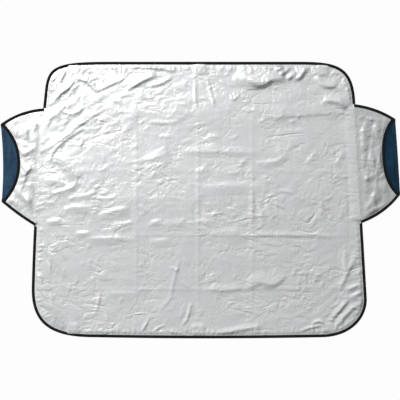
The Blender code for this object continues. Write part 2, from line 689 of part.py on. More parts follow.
def front_low(side, points, folds=()):
    """Underside of the silver layer, arched up from its bound edges and its seam to the mouth."""
    out = points[:, 0] - side.out_at(points[:, 1])
    room = smooth((edge_room(side, points) - LOFT_START) / LOFT_REACH)
    loft = POCKET_LOFT * room * smooth(out / LOFT_SHOULDER)
    clear = smooth((along_and_off(points, side.mouth)[1] - FLAT_MARGIN) / FOLD_FADE)
    free = clear * smooth(edge_room(side, points) / FOLD_FADE) * smooth(out / FOLD_FADE)
    return FRONT_LOW + loft + free * fold_heights(points, folds)


def back_low(side, points):
    """Underside of the blue layer, flat under the front and rippled along its hem."""
    along, off = along_and_off(points, side.hem)
    length = np.linalg.norm(np.diff(side.hem, axis=0), axis=1).sum()
    wave = 0.5 - 0.5 * np.cos(2.0 * np.pi * along * length / HEM_RIPPLE_PITCH)
    fade = (1.0 - smooth(off / HEM_RIPPLE_REACH)) * smooth(edge_room(side, points) / LOFT_REACH)
    return BACK_LOW + HEM_RIPPLE * wave * fade


def pocket_folds(side):
    """The pocket folds, from shares of the pocket to places on it."""
    pocket = side.pocket
    placed = []
    for fold in POCKET_FOLDS:
        crest = []
        for share_out, share_up in fold.crest:
            y = pocket.bottom_height + (pocket.top_height - pocket.bottom_height) * share_up
            reach = pocket.top_tip[0] - pocket.mouth_depth
            crest.append((side.out_at(y) + reach * share_out, y))
        placed.append(Fold(crest, fold.width, fold.height))
    return placed


def margin_line(outline, paths):
    """Inner edge of the flat margin under a pocket's tapes, kept inside the outline."""
    line = inset(paths[0], FLAT_MARGIN)
    for path in paths[1:]:
        line = join_at_crossing(line, inset(path, FLAT_MARGIN))
    return line[inside(line, outline)]


def add_pocket_front(side, finish, collection):
    folds = pocket_folds(side)
    outline = pocket_outline(side, side.mouth, EDGE_INSET)
    crests, feet = fold_points(folds)
    top, bottom = side.pocket.top_height - SEAM_START, side.pocket.bottom_height + SEAM_START
    lines = [margin_line(outline, (side.top, side.mouth, side.bottom)), side.edge_run(top, bottom), *crests]
    corners, faces = triangulated(outline, lines, fill_rest(outline, lines, feet, POCKET_FILL_STEP))
    low = front_low(side, corners, folds)
    name = f"{side.name}_pocket_front"
    add_sheet(name, corners * [side.sign, 1.0], faces, low, POCKET_CLOTH, finish, collection)


def hem_rows(side, corners, low):
    """Rows of points that turn the blue layer's outer edge under: its fold, then its turned end."""
    fold_out = (POCKET_CLOTH + GAP) / 2
    line = inset(side.hem, fold_out + POCKET_CLOTH / 2)
    normals = inner_normals(line)
    clear = edge_room(side, line + normals * HEM_WIDTH) > GAP
    clear &= edge_room(side, line) > GAP
    stations = np.flatnonzero(clear)
    edge = [int(np.linalg.norm(corners - line[i], axis=1).argmin()) for i in stations]
    drop = POCKET_CLOTH + GAP
    rows = []
    for depth, down in ((-fold_out, drop / 2), (0.0, drop), (HEM_WIDTH, drop)):
        plan = line[stations] + normals[stations] * depth
        rows.append(np.column_stack([plan, low[edge] - down]))
    return edge, rows


def add_pocket_back(side, finish, collection):
    fold_out = (POCKET_CLOTH + GAP) / 2
    outline = pocket_outline(side, side.hem, fold_out + POCKET_CLOTH / 2)
    lines = [margin_line(outline, (path,)) for path in (side.top, side.bottom)]
    loose = fill_rest(outline, lines, np.empty((0, 2)), POCKET_FILL_STEP)
    corners, faces = triangulated(outline, lines, loose)
    low = back_low(side, corners)
    edge, rows = hem_rows(side, corners, low)
    points = np.column_stack([corners, low])
    faces = [tuple(face) for face in faces]
    previous = edge
    for row in rows:
        current = list(range(len(points), len(points) + len(row)))
        points = np.vstack([points, row])
        for i in range(len(row) - 1):
            faces.append((previous[i], previous[i + 1], current[i + 1], current[i]))
        previous = current
    name = f"{side.name}_pocket_back"
    plan = points[:, :2] * [side.sign, 1.0]
    add_sheet(name, plan, faces, points[:, 2], POCKET_CLOTH, finish, collection)


def place_tape(side, path, across):
    """A path and its across vectors on their own side of the cover, still clockwise."""
    if side.sign > 0:
        return path, across
    return path[::-1] * MIRROR, across[::-1] * MIRROR


def add_pocket_bindings(side, finish, collection):
    down_seam = side.seam_run(side.pocket.top_height, -BINDING_WIDTH)
    up_seam = side.seam_run(side.pocket.bottom_height, BINDING_WIDTH)
    for edge_name, path, start, end in (
        ("top", side.top, down_seam, side.hem[1] - side.hem[0]),
        ("bottom", side.bottom, side.hem[-2] - side.hem[-1], up_seam),
    ):
        placed, across = place_tape(side, path, mitred(path, start, end))
        name = f"{side.name}_pocket_{edge_name}_binding"
        add_tape(name, placed, across, level(0.0), level(POCKET_BINDING_TOP), finish, collection)


def add_mouth_binding(side, finish, collection):
    """Tape round the pocket's mouth, between the bindings of its two edges."""
    mirror = np.array([side.sign, 1.0])
    across = inner_normals(side.mouth)
    clear = edge_room(side, side.mouth) > 2 * GAP
    clear &= edge_room(side, side.mouth + across * BINDING_WIDTH) > 2 * GAP
    path, across = place_tape(side, side.mouth[clear], across[clear])

    def low(points):
        return front_low(side, points * mirror) - GAP - TAPE

    def high(points):
        return front_low(side, points * mirror) + POCKET_CLOTH + GAP + TAPE

    add_tape(f"{side.name}_mouth_binding", path, across, low, high, finish, collection)


def add_block(name, size, centre, low, bevel, finish, collection):
    bpy.ops.mesh.primitive_cube_add(size=1.0)
    made = bpy.context.object
    made.name = name
    made.data.name = name
    made.location = (centre[0], centre[1], low + size[2] / 2)
    made.scale = size
    bpy.ops.object.transform_apply(location=False, rotation=False, scale=True)
    for linked in list(made.users_collection):
        linked.objects.unlink(made)
    collection.objects.link(made)
    made.data.materials.append(finish)
    if bevel:
        edge = made.modifiers.new("edge", "BEVEL")
        edge.width = bevel
        edge.segments = 2


def add_magnets(magnet_finish, patch_finish, collection):
    for name, place in magnet_places().items():
        patch = (PATCH_SIZE, PATCH_SIZE, POCKET_CLOTH)
        add_block(f"magnet_patch_{name}", patch, place, 0.0, 0.0, patch_finish, collection)
        low = POCKET_CLOTH + GAP
        add_block(f"magnet_{name}", MAGNET, place, low, MAGNET_EDGE, magnet_finish, collection)


def main():
    clear_scene()
    collection = bpy.data.collections.new("windshield_frost_cover")
    bpy.context.scene.collection.children.link(collection)
    silver = material("silver_film_cloth", (0.72, 0.73, 0.74), 0.34, 0.85)
    blue = material("blue_cloth", (0.030, 0.085, 0.165), 0.5, 0.0)
    black = material("black_tape", (0.010, 0.010, 0.011), 0.75, 0.0)
    steel = material("magnet_grey", (0.16, 0.16, 0.17), 0.45, 0.6)
    add_panel(silver, collection)
    add_panel_bindings(black, collection)
    for side in (LEFT, RIGHT):
        add_pocket_back(side, blue, collection)
        add_pocket_front(side, silver, collection)
        add_pocket_bindings(side, black, collection)
        add_mouth_binding(side, black, collection)
    add_magnets(steel, blue, collection)


main()
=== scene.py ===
"""Looks of the windshield frost cover, laid flat with its silver face up.

The sheet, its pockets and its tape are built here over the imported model, from the same named
values. Heights of the crumpled film come from facets and folds drawn into a raster.
"""
import math
from collections import namedtuple
from functools import reduce

import bpy
import numpy as np
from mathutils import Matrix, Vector
from mathutils.geometry import delaunay_2d_cdt


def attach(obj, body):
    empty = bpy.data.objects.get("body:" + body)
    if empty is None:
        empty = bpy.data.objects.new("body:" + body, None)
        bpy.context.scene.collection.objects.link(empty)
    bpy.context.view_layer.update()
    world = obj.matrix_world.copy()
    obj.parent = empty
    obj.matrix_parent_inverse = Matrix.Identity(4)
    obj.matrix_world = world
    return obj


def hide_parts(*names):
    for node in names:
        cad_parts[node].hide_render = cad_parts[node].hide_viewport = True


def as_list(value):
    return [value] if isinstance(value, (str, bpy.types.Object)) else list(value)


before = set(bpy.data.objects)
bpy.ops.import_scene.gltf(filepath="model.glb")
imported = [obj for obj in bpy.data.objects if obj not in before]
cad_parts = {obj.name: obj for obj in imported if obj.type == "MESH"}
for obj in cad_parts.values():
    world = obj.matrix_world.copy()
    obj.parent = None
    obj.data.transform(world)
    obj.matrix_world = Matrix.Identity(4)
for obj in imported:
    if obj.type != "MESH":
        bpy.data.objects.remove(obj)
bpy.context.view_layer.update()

# Cloth and tape
SHEET = 0.0006
POCKET_CLOTH = 0.0005
TAPE = 0.0005
BINDING_WIDTH = 0.0130
GAP = 0.0003
HEM_WIDTH = 0.009
MOUTH_ROOM = 0.0011

# Panel outline, to the outer face of its binding
PANEL_HEIGHT = 1.213
BOTTOM_BOW = 0.005
TOP_HALF_LEFT = 0.668
TOP_HALF_RIGHT = 0.673
BOTTOM_HALF_LEFT = 0.744
BOTTOM_HALF_RIGHT = 0.744
SIDE_BOW_LEFT = 0.018
SIDE_BOW_RIGHT = 0.0

# Each corner leaves the side and the edge at its runs, and each pull is a share of that run
Corner = namedtuple("Corner", "side_run edge_run side_pull edge_pull")
TOP_LEFT_CORNER = Corner(0.122, 0.274, 0.88, 0.85)
TOP_RIGHT_CORNER = Corner(0.174, 0.235, 0.91, 0.68)
BOTTOM_LEFT_CORNER = Corner(0.218, 0.285, 0.87, 0.55)
BOTTOM_RIGHT_CORNER = Corner(0.172, 0.214, 0.44, 0.68)

# Seam between the panel and each pocket
SEAM_INSET = 0.0065
SEAM_ALLOWANCE = 0.012
SEAM_START = 0.025
SEAM_SHELF = 0.016
SEAM_SLOPE = 0.060
SEAM_CLIMB_START = 0.003
SEAM_CLIMB_END = 0.022

# Side pockets: heights where their edges meet the seam, tips as (reach past the panel, height), and bows
Pocket = namedtuple(
    "Pocket",
    "top_height bottom_height top_tip bottom_tip top_bow bottom_bow hem_bow mouth_depth mouth_power",
)
LEFT_POCKET = Pocket(0.404, -0.116, (0.1802, 0.3345), (0.1488, -0.008), 0.0153, 0.0038, -0.0085, 0.072, 2.2)
RIGHT_POCKET = Pocket(0.4226, -0.1025, (0.1712, 0.3577), (0.1734, 0.023), 0.0114, 0.016, 0.0013, 0.055, 2.8)
LOFT_START = 0.012
LOFT_REACH = 0.075
HEM_RIPPLE = 0.0016
HEM_RIPPLE_REACH = 0.045
HEM_RIPPLE_PITCH = 0.110

# Magnets: places as (x, depth below the edge line), the outer ones set in from the panel's ends
MAGNET = (0.025, 0.018, 0.002)
PATCH_SIZE = 0.032
MAGNET_MARGIN = 0.002
TOP_MAGNETS = {
    "left": (-TOP_HALF_LEFT + 0.114, 0.039),
    "middle": (0.0, 0.036),
    "right": (TOP_HALF_RIGHT - 0.134, 0.039),
}
BOTTOM_MAGNETS = {
    "left": (-BOTTOM_HALF_LEFT + 0.184, 0.040),
    "middle": (-0.008, 0.034),
    "right": (BOTTOM_HALF_RIGHT - 0.181, 0.044),
}

CORNER_STEPS = 44
SIDE_STEP = 0.060
EDGE_STEP = 0.010
POCKET_EDGE_STEPS = 30
MOUTH_STEPS = 80

# Heights of the undersides of the layers, over the ground
PANEL_LOW = TAPE + GAP
BACK_LOW = TAPE + GAP
FRONT_LOW = BACK_LOW + POCKET_CLOTH + MOUTH_ROOM
SEAM_LOW = FRONT_LOW + POCKET_CLOTH + GAP
PANEL_BINDING_TOP = PANEL_LOW + SHEET + GAP + TAPE
POCKET_BINDING_TOP = FRONT_LOW + POCKET_CLOTH + GAP + TAPE
MAGNET_LIFT = POCKET_CLOTH + GAP + MAGNET[2] + GAP - PANEL_LOW
EDGE_INSET = TAPE + GAP
FLAT_MARGIN = BINDING_WIDTH + 0.0015
TOP_Y = (PANEL_HEIGHT + BOTTOM_BOW) / 2
BOTTOM_Y = TOP_Y - PANEL_HEIGHT
MIRROR = np.array([-1.0, 1.0])

# The photograph's middle, the ground's length under one of its steps and its light's direction
PHOTO_CENTRE = (200.05, 200.1)
PHOTO_STEP = 0.0044
TO_LIGHT = np.array([-0.64, 0.77])

# Rasters of heights, and how folds are drawn into them
SHEET_FIELD = ((-0.80, -0.66), (0.80, 0.66))
EAR_FIELD = ((-0.90, -0.20), (0.90, 0.46))
CELL = 0.0025
FOLD_SHARP = 1.05
SCATTER_SHARP = 1.25
STREAK_SHADE = 2.2
FACET_STRAY = 0.42
LOWEST_FILM = 0.0004
GATHER_START = 0.02
FINAL_BLUR = 0.75

# Forms of the cloth and the tape that only the looks have
FINE_STEP = 0.0050
UNDER_STEP = 0.014
EAR_UNDER_STEP = 0.010
HEM_UNDER_STEP = 0.006
FILM_SHARE = 0.00035
LINING_GAP = 0.00003
SHEET_FADE = 0.013
RIDGE_HEIGHT = 0.0005
RIDGE_PLACES = (0.0015, 0.0085)
RIDGE_WIDTHS = (0.0016, 0.0028)
MAGNET_FALL = 0.024
STITCH_SQUARE = PATCH_SIZE / 2 - 0.001
GROOVE_WIDTH = 0.0016
GROOVE_DEPTH = 0.0003
TAPE_CROWN = 0.0004
# Stitches: pitch, then length and radius of each
EDGE_STITCH = (0.0042, (0.0034, 0.00035))
MAGNET_STITCH = (0.0036, (0.0029, 0.00035))
SEAM_STITCH = (0.0052, (0.0042, 0.0004))
SEAM_STITCH_INSET = 0.0045
TAPE_SWAY = 0.00022
TAPE_WAVE = 0.00012
HEM_INSET = 0.0005
BACK_WAVES = 9.0
BACK_WAVE_HEIGHT = 0.0010
BACK_WAVE_REACH = 0.075
BACK_WAVE_FADE = 0.030
CLIMB_RUN = 0.030
CLIMB_HEIGHT = 0.0008
CLIMB_FALL = 0.5
FALL_RUN = 0.120
MOUTH_TUCK = 0.25
MOUTH_DIP = 0.0007

# Studio
FLOOR = -0.0005
FLOOR_REACH = 30.0
FLOOR_GLOW = 0.95
LAMP_PLACE = (-1.15, 1.40, 3.10)
LAMP_SIZE = 1.6
LAMP_POWER = 20.0
SKY_DARK = 0.02
SKY_BRIGHT = 1.255
SKY_LOW = 0.50
SKY_LIGHT = (-0.42, 0.60, 0.68)
CAMERA_LENS = 200.0
CAMERA_HEIGHT = 9.78


def smooth(value):
    t = np.clip(value, 0.0, 1.0)
    return t * t * (3.0 - 2.0 * t)


def unit(vector):
    return vector / np.linalg.norm(vector)


def steps(length, step):
    return max(2, int(round(length / step)) + 1)


def straight(start, end, count):
    share = np.linspace(0.0, 1.0, count)[:, None]
    return np.asarray(start) * (1.0 - share) + np.asarray(end) * share


def arch(start, end, rise, away_from, count):
    """A shallow bow between two points, bulging away from a third where the rise is positive."""
    line = straight(start, end, count)
    run = unit(np.asarray(end) - np.asarray(start))
    across = np.array([-run[1], run[0]])
    if np.dot(across, line.mean(axis=0) - np.asarray(away_from)) < 0.0:
        across = -across
    share = np.linspace(0.0, 1.0, count)
    return line + across * (rise * 4.0 * share * (1.0 - share))[:, None]


def cubic(start, pull_out, pull_in, end, count):
    t = np.linspace(0.0, 1.0, count)[:, None]
    s = 1.0 - t
    return s**3 * start + 3 * s * s * t * pull_out + 3 * s * t * t * pull_in + t**3 * end


def inner_normals(path):
    """Vectors to the path's inner side, long enough to keep a strip's width round each bend."""
    along = np.diff(path, axis=0)
    along /= np.linalg.norm(along, axis=1)[:, None]
    side = np.stack([along[:, 1], -along[:, 0]], axis=1)
    before = np.vstack([side[:1], side])
    after = np.vstack([side, side[-1:]])
    mean = before + after
    mean /= np.linalg.norm(mean, axis=1)[:, None]
    return mean / np.sum(mean * after, axis=1)[:, None]


def mitred(path, start_run, end_run):
    """Across vectors of a strip whose ends are cut along the given directions."""
    across = inner_normals(path)
    for index, run in ((0, start_run), (-1, end_run)):
        across[index] = unit(run) / np.dot(unit(run), unit(across[index]))
    return across


def inset(path, depth):
    return path + inner_normals(path) * depth


def resample(path, step):
    pieces = [straight(a, b, steps(np.linalg.norm(b - a), step))[:-1] for a, b in zip(path[:-1], path[1:])]
    return np.vstack(pieces + [path[-1:]])


def walked(path):
    """How far along a path each of its points lies."""
    return np.concatenate([[0.0], np.cumsum(np.linalg.norm(np.diff(path, axis=0), axis=1))])


def along_and_off(points, path):
    """For each point, how far along the path it lies, from 0 to 1, and how far off the path."""
    start, run = path[:-1], np.diff(path, axis=0)
    length = np.linalg.norm(run, axis=1)
    from_start = points[:, None, :] - start[None]
    share = np.clip(np.sum(from_start * run, axis=2) / length**2, 0.0, 1.0)
    off = np.linalg.norm(from_start - share[:, :, None] * run, axis=2)
    nearest = off.argmin(axis=1)
    rows = np.arange(len(points))
    gone = walked(path)
    along = (gone[nearest] + share[rows, nearest] * length[nearest]) / gone[-1]
    return along, off[rows, nearest]


def join_at_crossing(first, second):
    """The first path up to where it crosses the second, then the rest of the second."""
    for i in range(len(first) - 2, -1, -1):
        a, run_a = first[i], first[i + 1] - first[i]
        for j in range(len(second) - 1):
            c, run_c = second[j], second[j + 1] - second[j]
            turn = run_a[0] * run_c[1] - run_a[1] * run_c[0]
            if turn == 0.0:
                continue
            gap = c - a
            s = (gap[0] * run_c[1] - gap[1] * run_c[0]) / turn
            t = (gap[0] * run_a[1] - gap[1] * run_a[0]) / turn
            if 0.0 <= s <= 1.0 and 0.0 <= t <= 1.0:
                return np.vstack([first[: i + 1], a + run_a * s, second[j + 1 :]])
    return np.vstack([first, second])


def inside(points, outline):
    """Even-odd test of points against a closed outline."""
    result = np.zeros(len(points), bool)
    x, y = points[:, 0], points[:, 1]
    for (ax, ay), (bx, by) in zip(outline, np.roll(outline, -1, axis=0)):
        if ay == by:
            continue
        crosses = (ay > y) != (by > y)
        result ^= crosses & (x < (bx - ax) * (y - ay) / (by - ay) + ax)
    return result


class Side:
    """One side of the cover: its edge line, its seam and the outlines of its pocket."""

    def __init__(self, name, sign, top_half, bottom_half, bow, pocket):
        self.name = name
        self.sign = sign
        self.top_half = top_half
        self.bottom_half = bottom_half
        self.bow = bow
        self.pocket = pocket
        seam_top = np.array([self.out_at(pocket.top_height) - SEAM_INSET + GAP, pocket.top_height])
        seam_bottom = np.array([self.out_at(pocket.bottom_height) - SEAM_INSET + GAP, pocket.bottom_height])
        top_tip, bottom_tip = self.tip(pocket.top_tip), self.tip(pocket.bottom_tip)
        middle = (seam_top + seam_bottom + top_tip + bottom_tip) / 4
        self.top = arch(seam_top, top_tip, pocket.top_bow, middle, POCKET_EDGE_STEPS)
        self.bottom = arch(bottom_tip, seam_bottom, pocket.bottom_bow, middle, POCKET_EDGE_STEPS)
        self.hem = arch(top_tip, bottom_tip, pocket.hem_bow, middle, MOUTH_STEPS)
        share = np.linspace(-1.0, 1.0, MOUTH_STEPS)
        depth = pocket.mouth_depth * (1.0 - np.abs(share) ** pocket.mouth_power)
        chord = straight(top_tip, bottom_tip, MOUTH_STEPS)
        self.mouth = chord + unit(inner_normals(chord)[0]) * depth[:, None]
        self.cut_top = self.cut(self.top[0], self.top[1] - self.top[0], 1.0)
        self.cut_bottom = self.cut(self.bottom[-1], self.bottom[-2] - self.bottom[-1], -1.0)

    def out_at(self, y):
        """How far out the panel's edge line lies at a height."""
        share = (TOP_Y - y) / PANEL_HEIGHT
        return self.top_half + (self.bottom_half - self.top_half) * share + self.bow * 4 * share * (1 - share)

    def tip(self, place):
        """A pocket's corner, from its reach past the panel and its height."""
        reach, y = place
        return np.array([self.out_at(y) + reach, y])

    def cut(self, corner, run, up):
        """Where the panel's binding stops: on its edge line and on the seam, just off the pocket."""
        rise = run[1] / run[0]
        lift = up * GAP * np.hypot(1.0, rise)
        at_edge = corner[1] + lift + rise * SEAM_INSET
        at_seam = corner[1] + lift
        return np.array([[self.out_at(at_edge), at_edge], [self.out_at(at_seam) - SEAM_INSET, at_seam]])

    def seam_run(self, start_y, rise):
        """The seam's run from a height to another one above or below it."""
        return np.array([self.out_at(start_y + rise) - self.out_at(start_y), rise])

    def seam_line(self, inward):
        """The seam from top to bottom, moved towards the panel's middle, with the climb's stations."""
        top, bottom = self.cut_top[1][1], self.cut_bottom[1][1]
        middle = straight((top - SEAM_CLIMB_END,), (bottom + SEAM_CLIMB_END,), steps(top - bottom, SIDE_STEP))
        ends_top = [top, top - SEAM_CLIMB_START]
        ends_bottom = [bottom + SEAM_CLIMB_START, bottom]
        heights = np.concatenate([ends_top, middle[:, 0], ends_bottom])
        return np.array([(self.out_at(y) - SEAM_INSET - inward, y) for y in heights])

    def edge_run(self, start_y, end_y):
        count = steps(abs(start_y - end_y), SIDE_STEP)
        return np.array([(self.out_at(y), y) for y in np.linspace(start_y, end_y, count)])


LEFT = Side("left", -1.0, TOP_HALF_LEFT, BOTTOM_HALF_LEFT, SIDE_BOW_LEFT, LEFT_POCKET)
RIGHT = Side("right", 1.0, TOP_HALF_RIGHT, BOTTOM_HALF_RIGHT, SIDE_BOW_RIGHT, RIGHT_POCKET)


def corner_curve(side, corner, cut_y, edge_y, up):
    """The rounded corner from the side's edge line to the top or bottom edge, outwards on the right."""
    side_run = min(corner.side_run, abs(edge_y - cut_y) - BINDING_WIDTH)
    start_y = edge_y - up * side_run
    start = np.array([side.out_at(start_y), start_y])
    ahead = np.array([side.out_at(start_y + up * SIDE_STEP), start_y + up * SIDE_STEP])
    end = np.array([side.out_at(edge_y) - corner.edge_run, edge_y])
    pull_out = start + unit(ahead - start) * side_run * corner.side_pull
    pull_in = end + np.array([corner.edge_run * corner.edge_pull, 0.0])
    return cubic(start, pull_out, pull_in, end, CORNER_STEPS + 1)


def half_edge(side, corner, cut_point, edge_y, up):
    """Edge line from the pocket's cut, round the corner, to where the straight edge starts."""
    curve = corner_curve(side, corner, cut_point[1], edge_y, up)
    run = side.edge_run(cut_point[1], curve[0][1])
    return np.vstack([run[:-1], curve])


def panel_edges():
    """Outer lines of the top and the bottom binding, both clockwise."""
    top_left = half_edge(LEFT, TOP_LEFT_CORNER, LEFT.cut_top[0], TOP_Y, 1.0) * MIRROR
    top_right = half_edge(RIGHT, TOP_RIGHT_CORNER, RIGHT.cut_top[0], TOP_Y, 1.0)[::-1]
    bottom_right = half_edge(RIGHT, BOTTOM_RIGHT_CORNER, RIGHT.cut_bottom[0], BOTTOM_Y, -1.0)
    bottom_left = half_edge(LEFT, BOTTOM_LEFT_CORNER, LEFT.cut_bottom[0], BOTTOM_Y, -1.0)[::-1] * MIRROR
    top_count = steps(top_right[0][0] - top_left[-1][0], EDGE_STEP)
    bottom_count = steps(bottom_right[-1][0] - bottom_left[0][0], EDGE_STEP)
    top_run = straight(top_left[-1], top_right[0], top_count)[1:-1]
    bottom_run = arch(bottom_right[-1], bottom_left[0], BOTTOM_BOW, (0.0, TOP_Y), bottom_count)[1:-1]
    return np.vstack([top_left, top_run, top_right]), np.vstack([bottom_right, bottom_run, bottom_left])


TOP_EDGE, BOTTOM_EDGE = (resample(path, 0.004) for path in panel_edges())
TOP_ACROSS = mitred(
    TOP_EDGE, (LEFT.cut_top[1] - LEFT.cut_top[0]) * MIRROR, RIGHT.cut_top[1] - RIGHT.cut_top[0]
)
BOTTOM_ACROSS = mitred(
    BOTTOM_EDGE, RIGHT.cut_bottom[1] - RIGHT.cut_bottom[0], (LEFT.cut_bottom[1] - LEFT.cut_bottom[0]) * MIRROR
)


def magnet_places():
    places = {f"top_{name}": (x, TOP_Y - depth) for name, (x, depth) in TOP_MAGNETS.items()}
    places.update({f"bottom_{name}": (x, BOTTOM_Y + depth) for name, (x, depth) in BOTTOM_MAGNETS.items()})
    return places


def magnet_lift(points):
    """Height that the magnets give the sheet: flat over each one, then falling away softly."""
    flat = np.array(MAGNET[:2]) / 2 + MAGNET_MARGIN
    total = np.zeros(len(points))
    for place in magnet_places().values():
        off = np.abs(points - np.array(place)) - flat
        beyond = np.hypot(*off.clip(0.0).T)
        total = np.maximum(total, MAGNET_LIFT * (1.0 - smooth(beyond / MAGNET_FALL)))
    return total


def stitch_groove(points):
    """The shallow groove that the stitches round each magnet press into the sheet."""
    total = np.zeros(len(points))
    for place in magnet_places().values():
        off = np.max(np.abs(points - np.array(place)), axis=1) - STITCH_SQUARE
        total = np.maximum(total, np.exp(-((off / GROOVE_WIDTH) ** 2)))
    return total * GROOVE_DEPTH


def past_seam(side, points):
    """How far inside of a side's seam points lie, and their room to the seam's nearer end."""
    y = points[:, 1]
    inward = side.out_at(y) - SEAM_INSET - points[:, 0] * side.sign
    return inward, np.minimum(side.cut_top[1][1] - y, y - side.cut_bottom[1][1])


def seam_climb(points):
    """Height that the panel gains where it lies on the two layers of each pocket."""
    total = np.zeros(len(points))
    for side in (LEFT, RIGHT):
        inward, room = past_seam(side, points)
        along = smooth((room - SEAM_CLIMB_START) / (SEAM_CLIMB_END - SEAM_CLIMB_START))
        across = 1.0 - smooth((inward - SEAM_SHELF) / SEAM_SLOPE)
        total = np.maximum(total, (SEAM_LOW - PANEL_LOW) * along * across)
    return total


def seam_tongue(side):
    """Inner edge of a pocket's layers: along the seam, and in under the panel between its ends."""
    top, bottom = side.pocket.top_height - SEAM_START, side.pocket.bottom_height + SEAM_START
    count = steps(top - bottom, SIDE_STEP)
    line = [(side.out_at(y) - SEAM_INSET - SEAM_ALLOWANCE, y) for y in np.linspace(bottom, top, count)]
    low_out = (side.out_at(bottom) - SEAM_INSET + GAP, bottom)
    high_out = (side.out_at(top) - SEAM_INSET + GAP, top)
    start = (side.out_at(side.pocket.bottom_height) - SEAM_INSET + GAP, side.pocket.bottom_height)
    end = (side.out_at(side.pocket.top_height) - SEAM_INSET + GAP, side.pocket.top_height)
    return np.array([start, low_out, *line, high_out, end])


def pocket_outline(side, outer, outer_inset):
    """Closed outline of a pocket layer whose outer edge is the mouth or the hem."""
    ring = inset(side.top, EDGE_INSET)
    for path in (inset(outer, outer_inset), inset(side.bottom, EDGE_INSET), seam_tongue(side)):
        ring = join_at_crossing(ring, path)
    return join_at_crossing(ring[-2:], ring[:-2])


def edge_room(side, points):
    """Distance from the nearer of a pocket's two bound edges, past the tape's inner edge."""
    near = np.minimum(along_and_off(points, side.top)[1], along_and_off(points, side.bottom)[1])
    return near - FLAT_MARGIN


def front_low(side, points):
    """Underside of the silver layer: it climbs off its seam, then falls a little to the mouth."""
    out = points[:, 0] - side.out_at(points[:, 1])
    room = smooth((edge_room(side, points) - LOFT_START) / LOFT_REACH)
    rise = smooth(out / CLIMB_RUN) * (1.0 - CLIMB_FALL * smooth((out - CLIMB_RUN) / FALL_RUN))
    return FRONT_LOW + CLIMB_HEIGHT * room * rise


def back_low(side, points):
    """Underside of the blue layer, flat under the front and rippled along its hem."""
    along, off = along_and_off(points, side.hem)
    length = np.linalg.norm(np.diff(side.hem, axis=0), axis=1).sum()
    wave = 0.5 - 0.5 * np.cos(2.0 * np.pi * along * length / HEM_RIPPLE_PITCH)
    fade = (1.0 - smooth(off / HEM_RIPPLE_REACH)) * smooth(edge_room(side, points) / LOFT_REACH)
    return BACK_LOW + HEM_RIPPLE * wave * fade


def place_tape(side, path, across):
    """A path and its across vectors on their own side of the cover, still clockwise."""
    if side.sign > 0:
        return path, across
    return path[::-1] * MIRROR, across[::-1] * MIRROR


class Raster:
    """A grid of values over a rectangle of the ground, read between its cells."""

    def __init__(self, low, high, cell):
        self.low = np.array(low)
        self.cell = cell
        self.shape = tuple(int(np.ceil((h - l) / cell)) + 1 for l, h in zip(low, high))
        self.value = np.zeros(self.shape)

    def axes(self):
        """Places of the grid's columns and rows, shaped to span it together."""
        xs, ys = (low + self.cell * np.arange(count) for low, count in zip(self.low, self.shape))
        return xs[:, None], ys[None, :]

    def window(self, points, reach):
        """Index ranges and cell places of the part of the grid near some points."""
        first = np.floor((np.min(points, axis=0) - reach - self.low) / self.cell).astype(int).clip(0)
        last = np.ceil((np.max(points, axis=0) + reach - self.low) / self.cell).astype(int) + 1
        last = np.minimum(last, self.shape)
        xs, ys = (self.low[k] + self.cell * np.arange(first[k], last[k]) for k in (0, 1))
        return slice(first[0], last[0]), slice(first[1], last[1]), xs[:, None], ys[None, :]

    def at(self, points):
        spot = (points - self.low) / self.cell
        spot = spot.clip(0.0, np.array(self.shape) - 1.001)
        i, j = spot[:, 0].astype(int), spot[:, 1].astype(int)
        s, t = spot[:, 0] - i, spot[:, 1] - j
        v = self.value
        near = v[i, j] * (1 - t) + v[i, j + 1] * t
        far = v[i + 1, j] * (1 - t) + v[i + 1, j + 1] * t
        return near * (1 - s) + far * s


def shifted(grid, axis, cells):
    """The grid moved by each whole step up to a number of cells, both ways along an axis."""
    padded = np.pad(grid, [(cells, cells) if axis == k else (0, 0) for k in (0, 1)], mode="edge")
    size = grid.shape[axis]
    return (np.take(padded, range(k, k + size), axis=axis) for k in range(2 * cells + 1))


def blurred(grid, radius):
    """The grid smoothed by a bell of a radius in cells, along each axis in turn."""
    reach = int(np.ceil(radius * 2.6))
    bell = np.exp(-0.5 * (np.arange(-reach, reach + 1) / radius) ** 2)
    bell /= bell.sum()
    for axis in (0, 1):
        grid = sum(weight * part for weight, part in zip(bell, shifted(grid, axis, reach)))
    return grid


def lowest_near(grid, cells):
    """For each cell, the lowest value within a square around it."""
    for axis in (0, 1):
        grid = reduce(np.minimum, shifted(grid, axis, cells))
    return grid


def curve_through(points, step):
    """A smooth path through the given points, with steps of about one length."""
    p = np.asarray(points, float)
    if len(p) == 2:
        return straight(p[0], p[1], steps(np.linalg.norm(p[1] - p[0]), step))
    p = np.vstack([2 * p[0] - p[1], p, 2 * p[-1] - p[-2]])
    out = []
    for a, b, c, d in zip(p[:-3], p[1:-2], p[2:-1], p[3:]):
        t = np.linspace(0.0, 1.0, steps(np.linalg.norm(c - b), step))[:-1, None]
        out.append(
            0.5 * (2 * b + (c - a) * t + (2 * a - 5 * b + 4 * c - d) * t**2 + (3 * b - a - 3 * c + d) * t**3)
        )
    return np.vstack(out + [p[-2:-1]])


def from_segment(xs, ys, a, b):
    """How far along a segment each cell's nearest point lies, and the way from there to the cell."""
    run = b - a
    share = (((xs - a[0]) * run[0] + (ys - a[1]) * run[1]) / (run @ run)).clip(0.0, 1.0)
    return share, xs - a[0] - share * run[0], ys - a[1] - share * run[1]


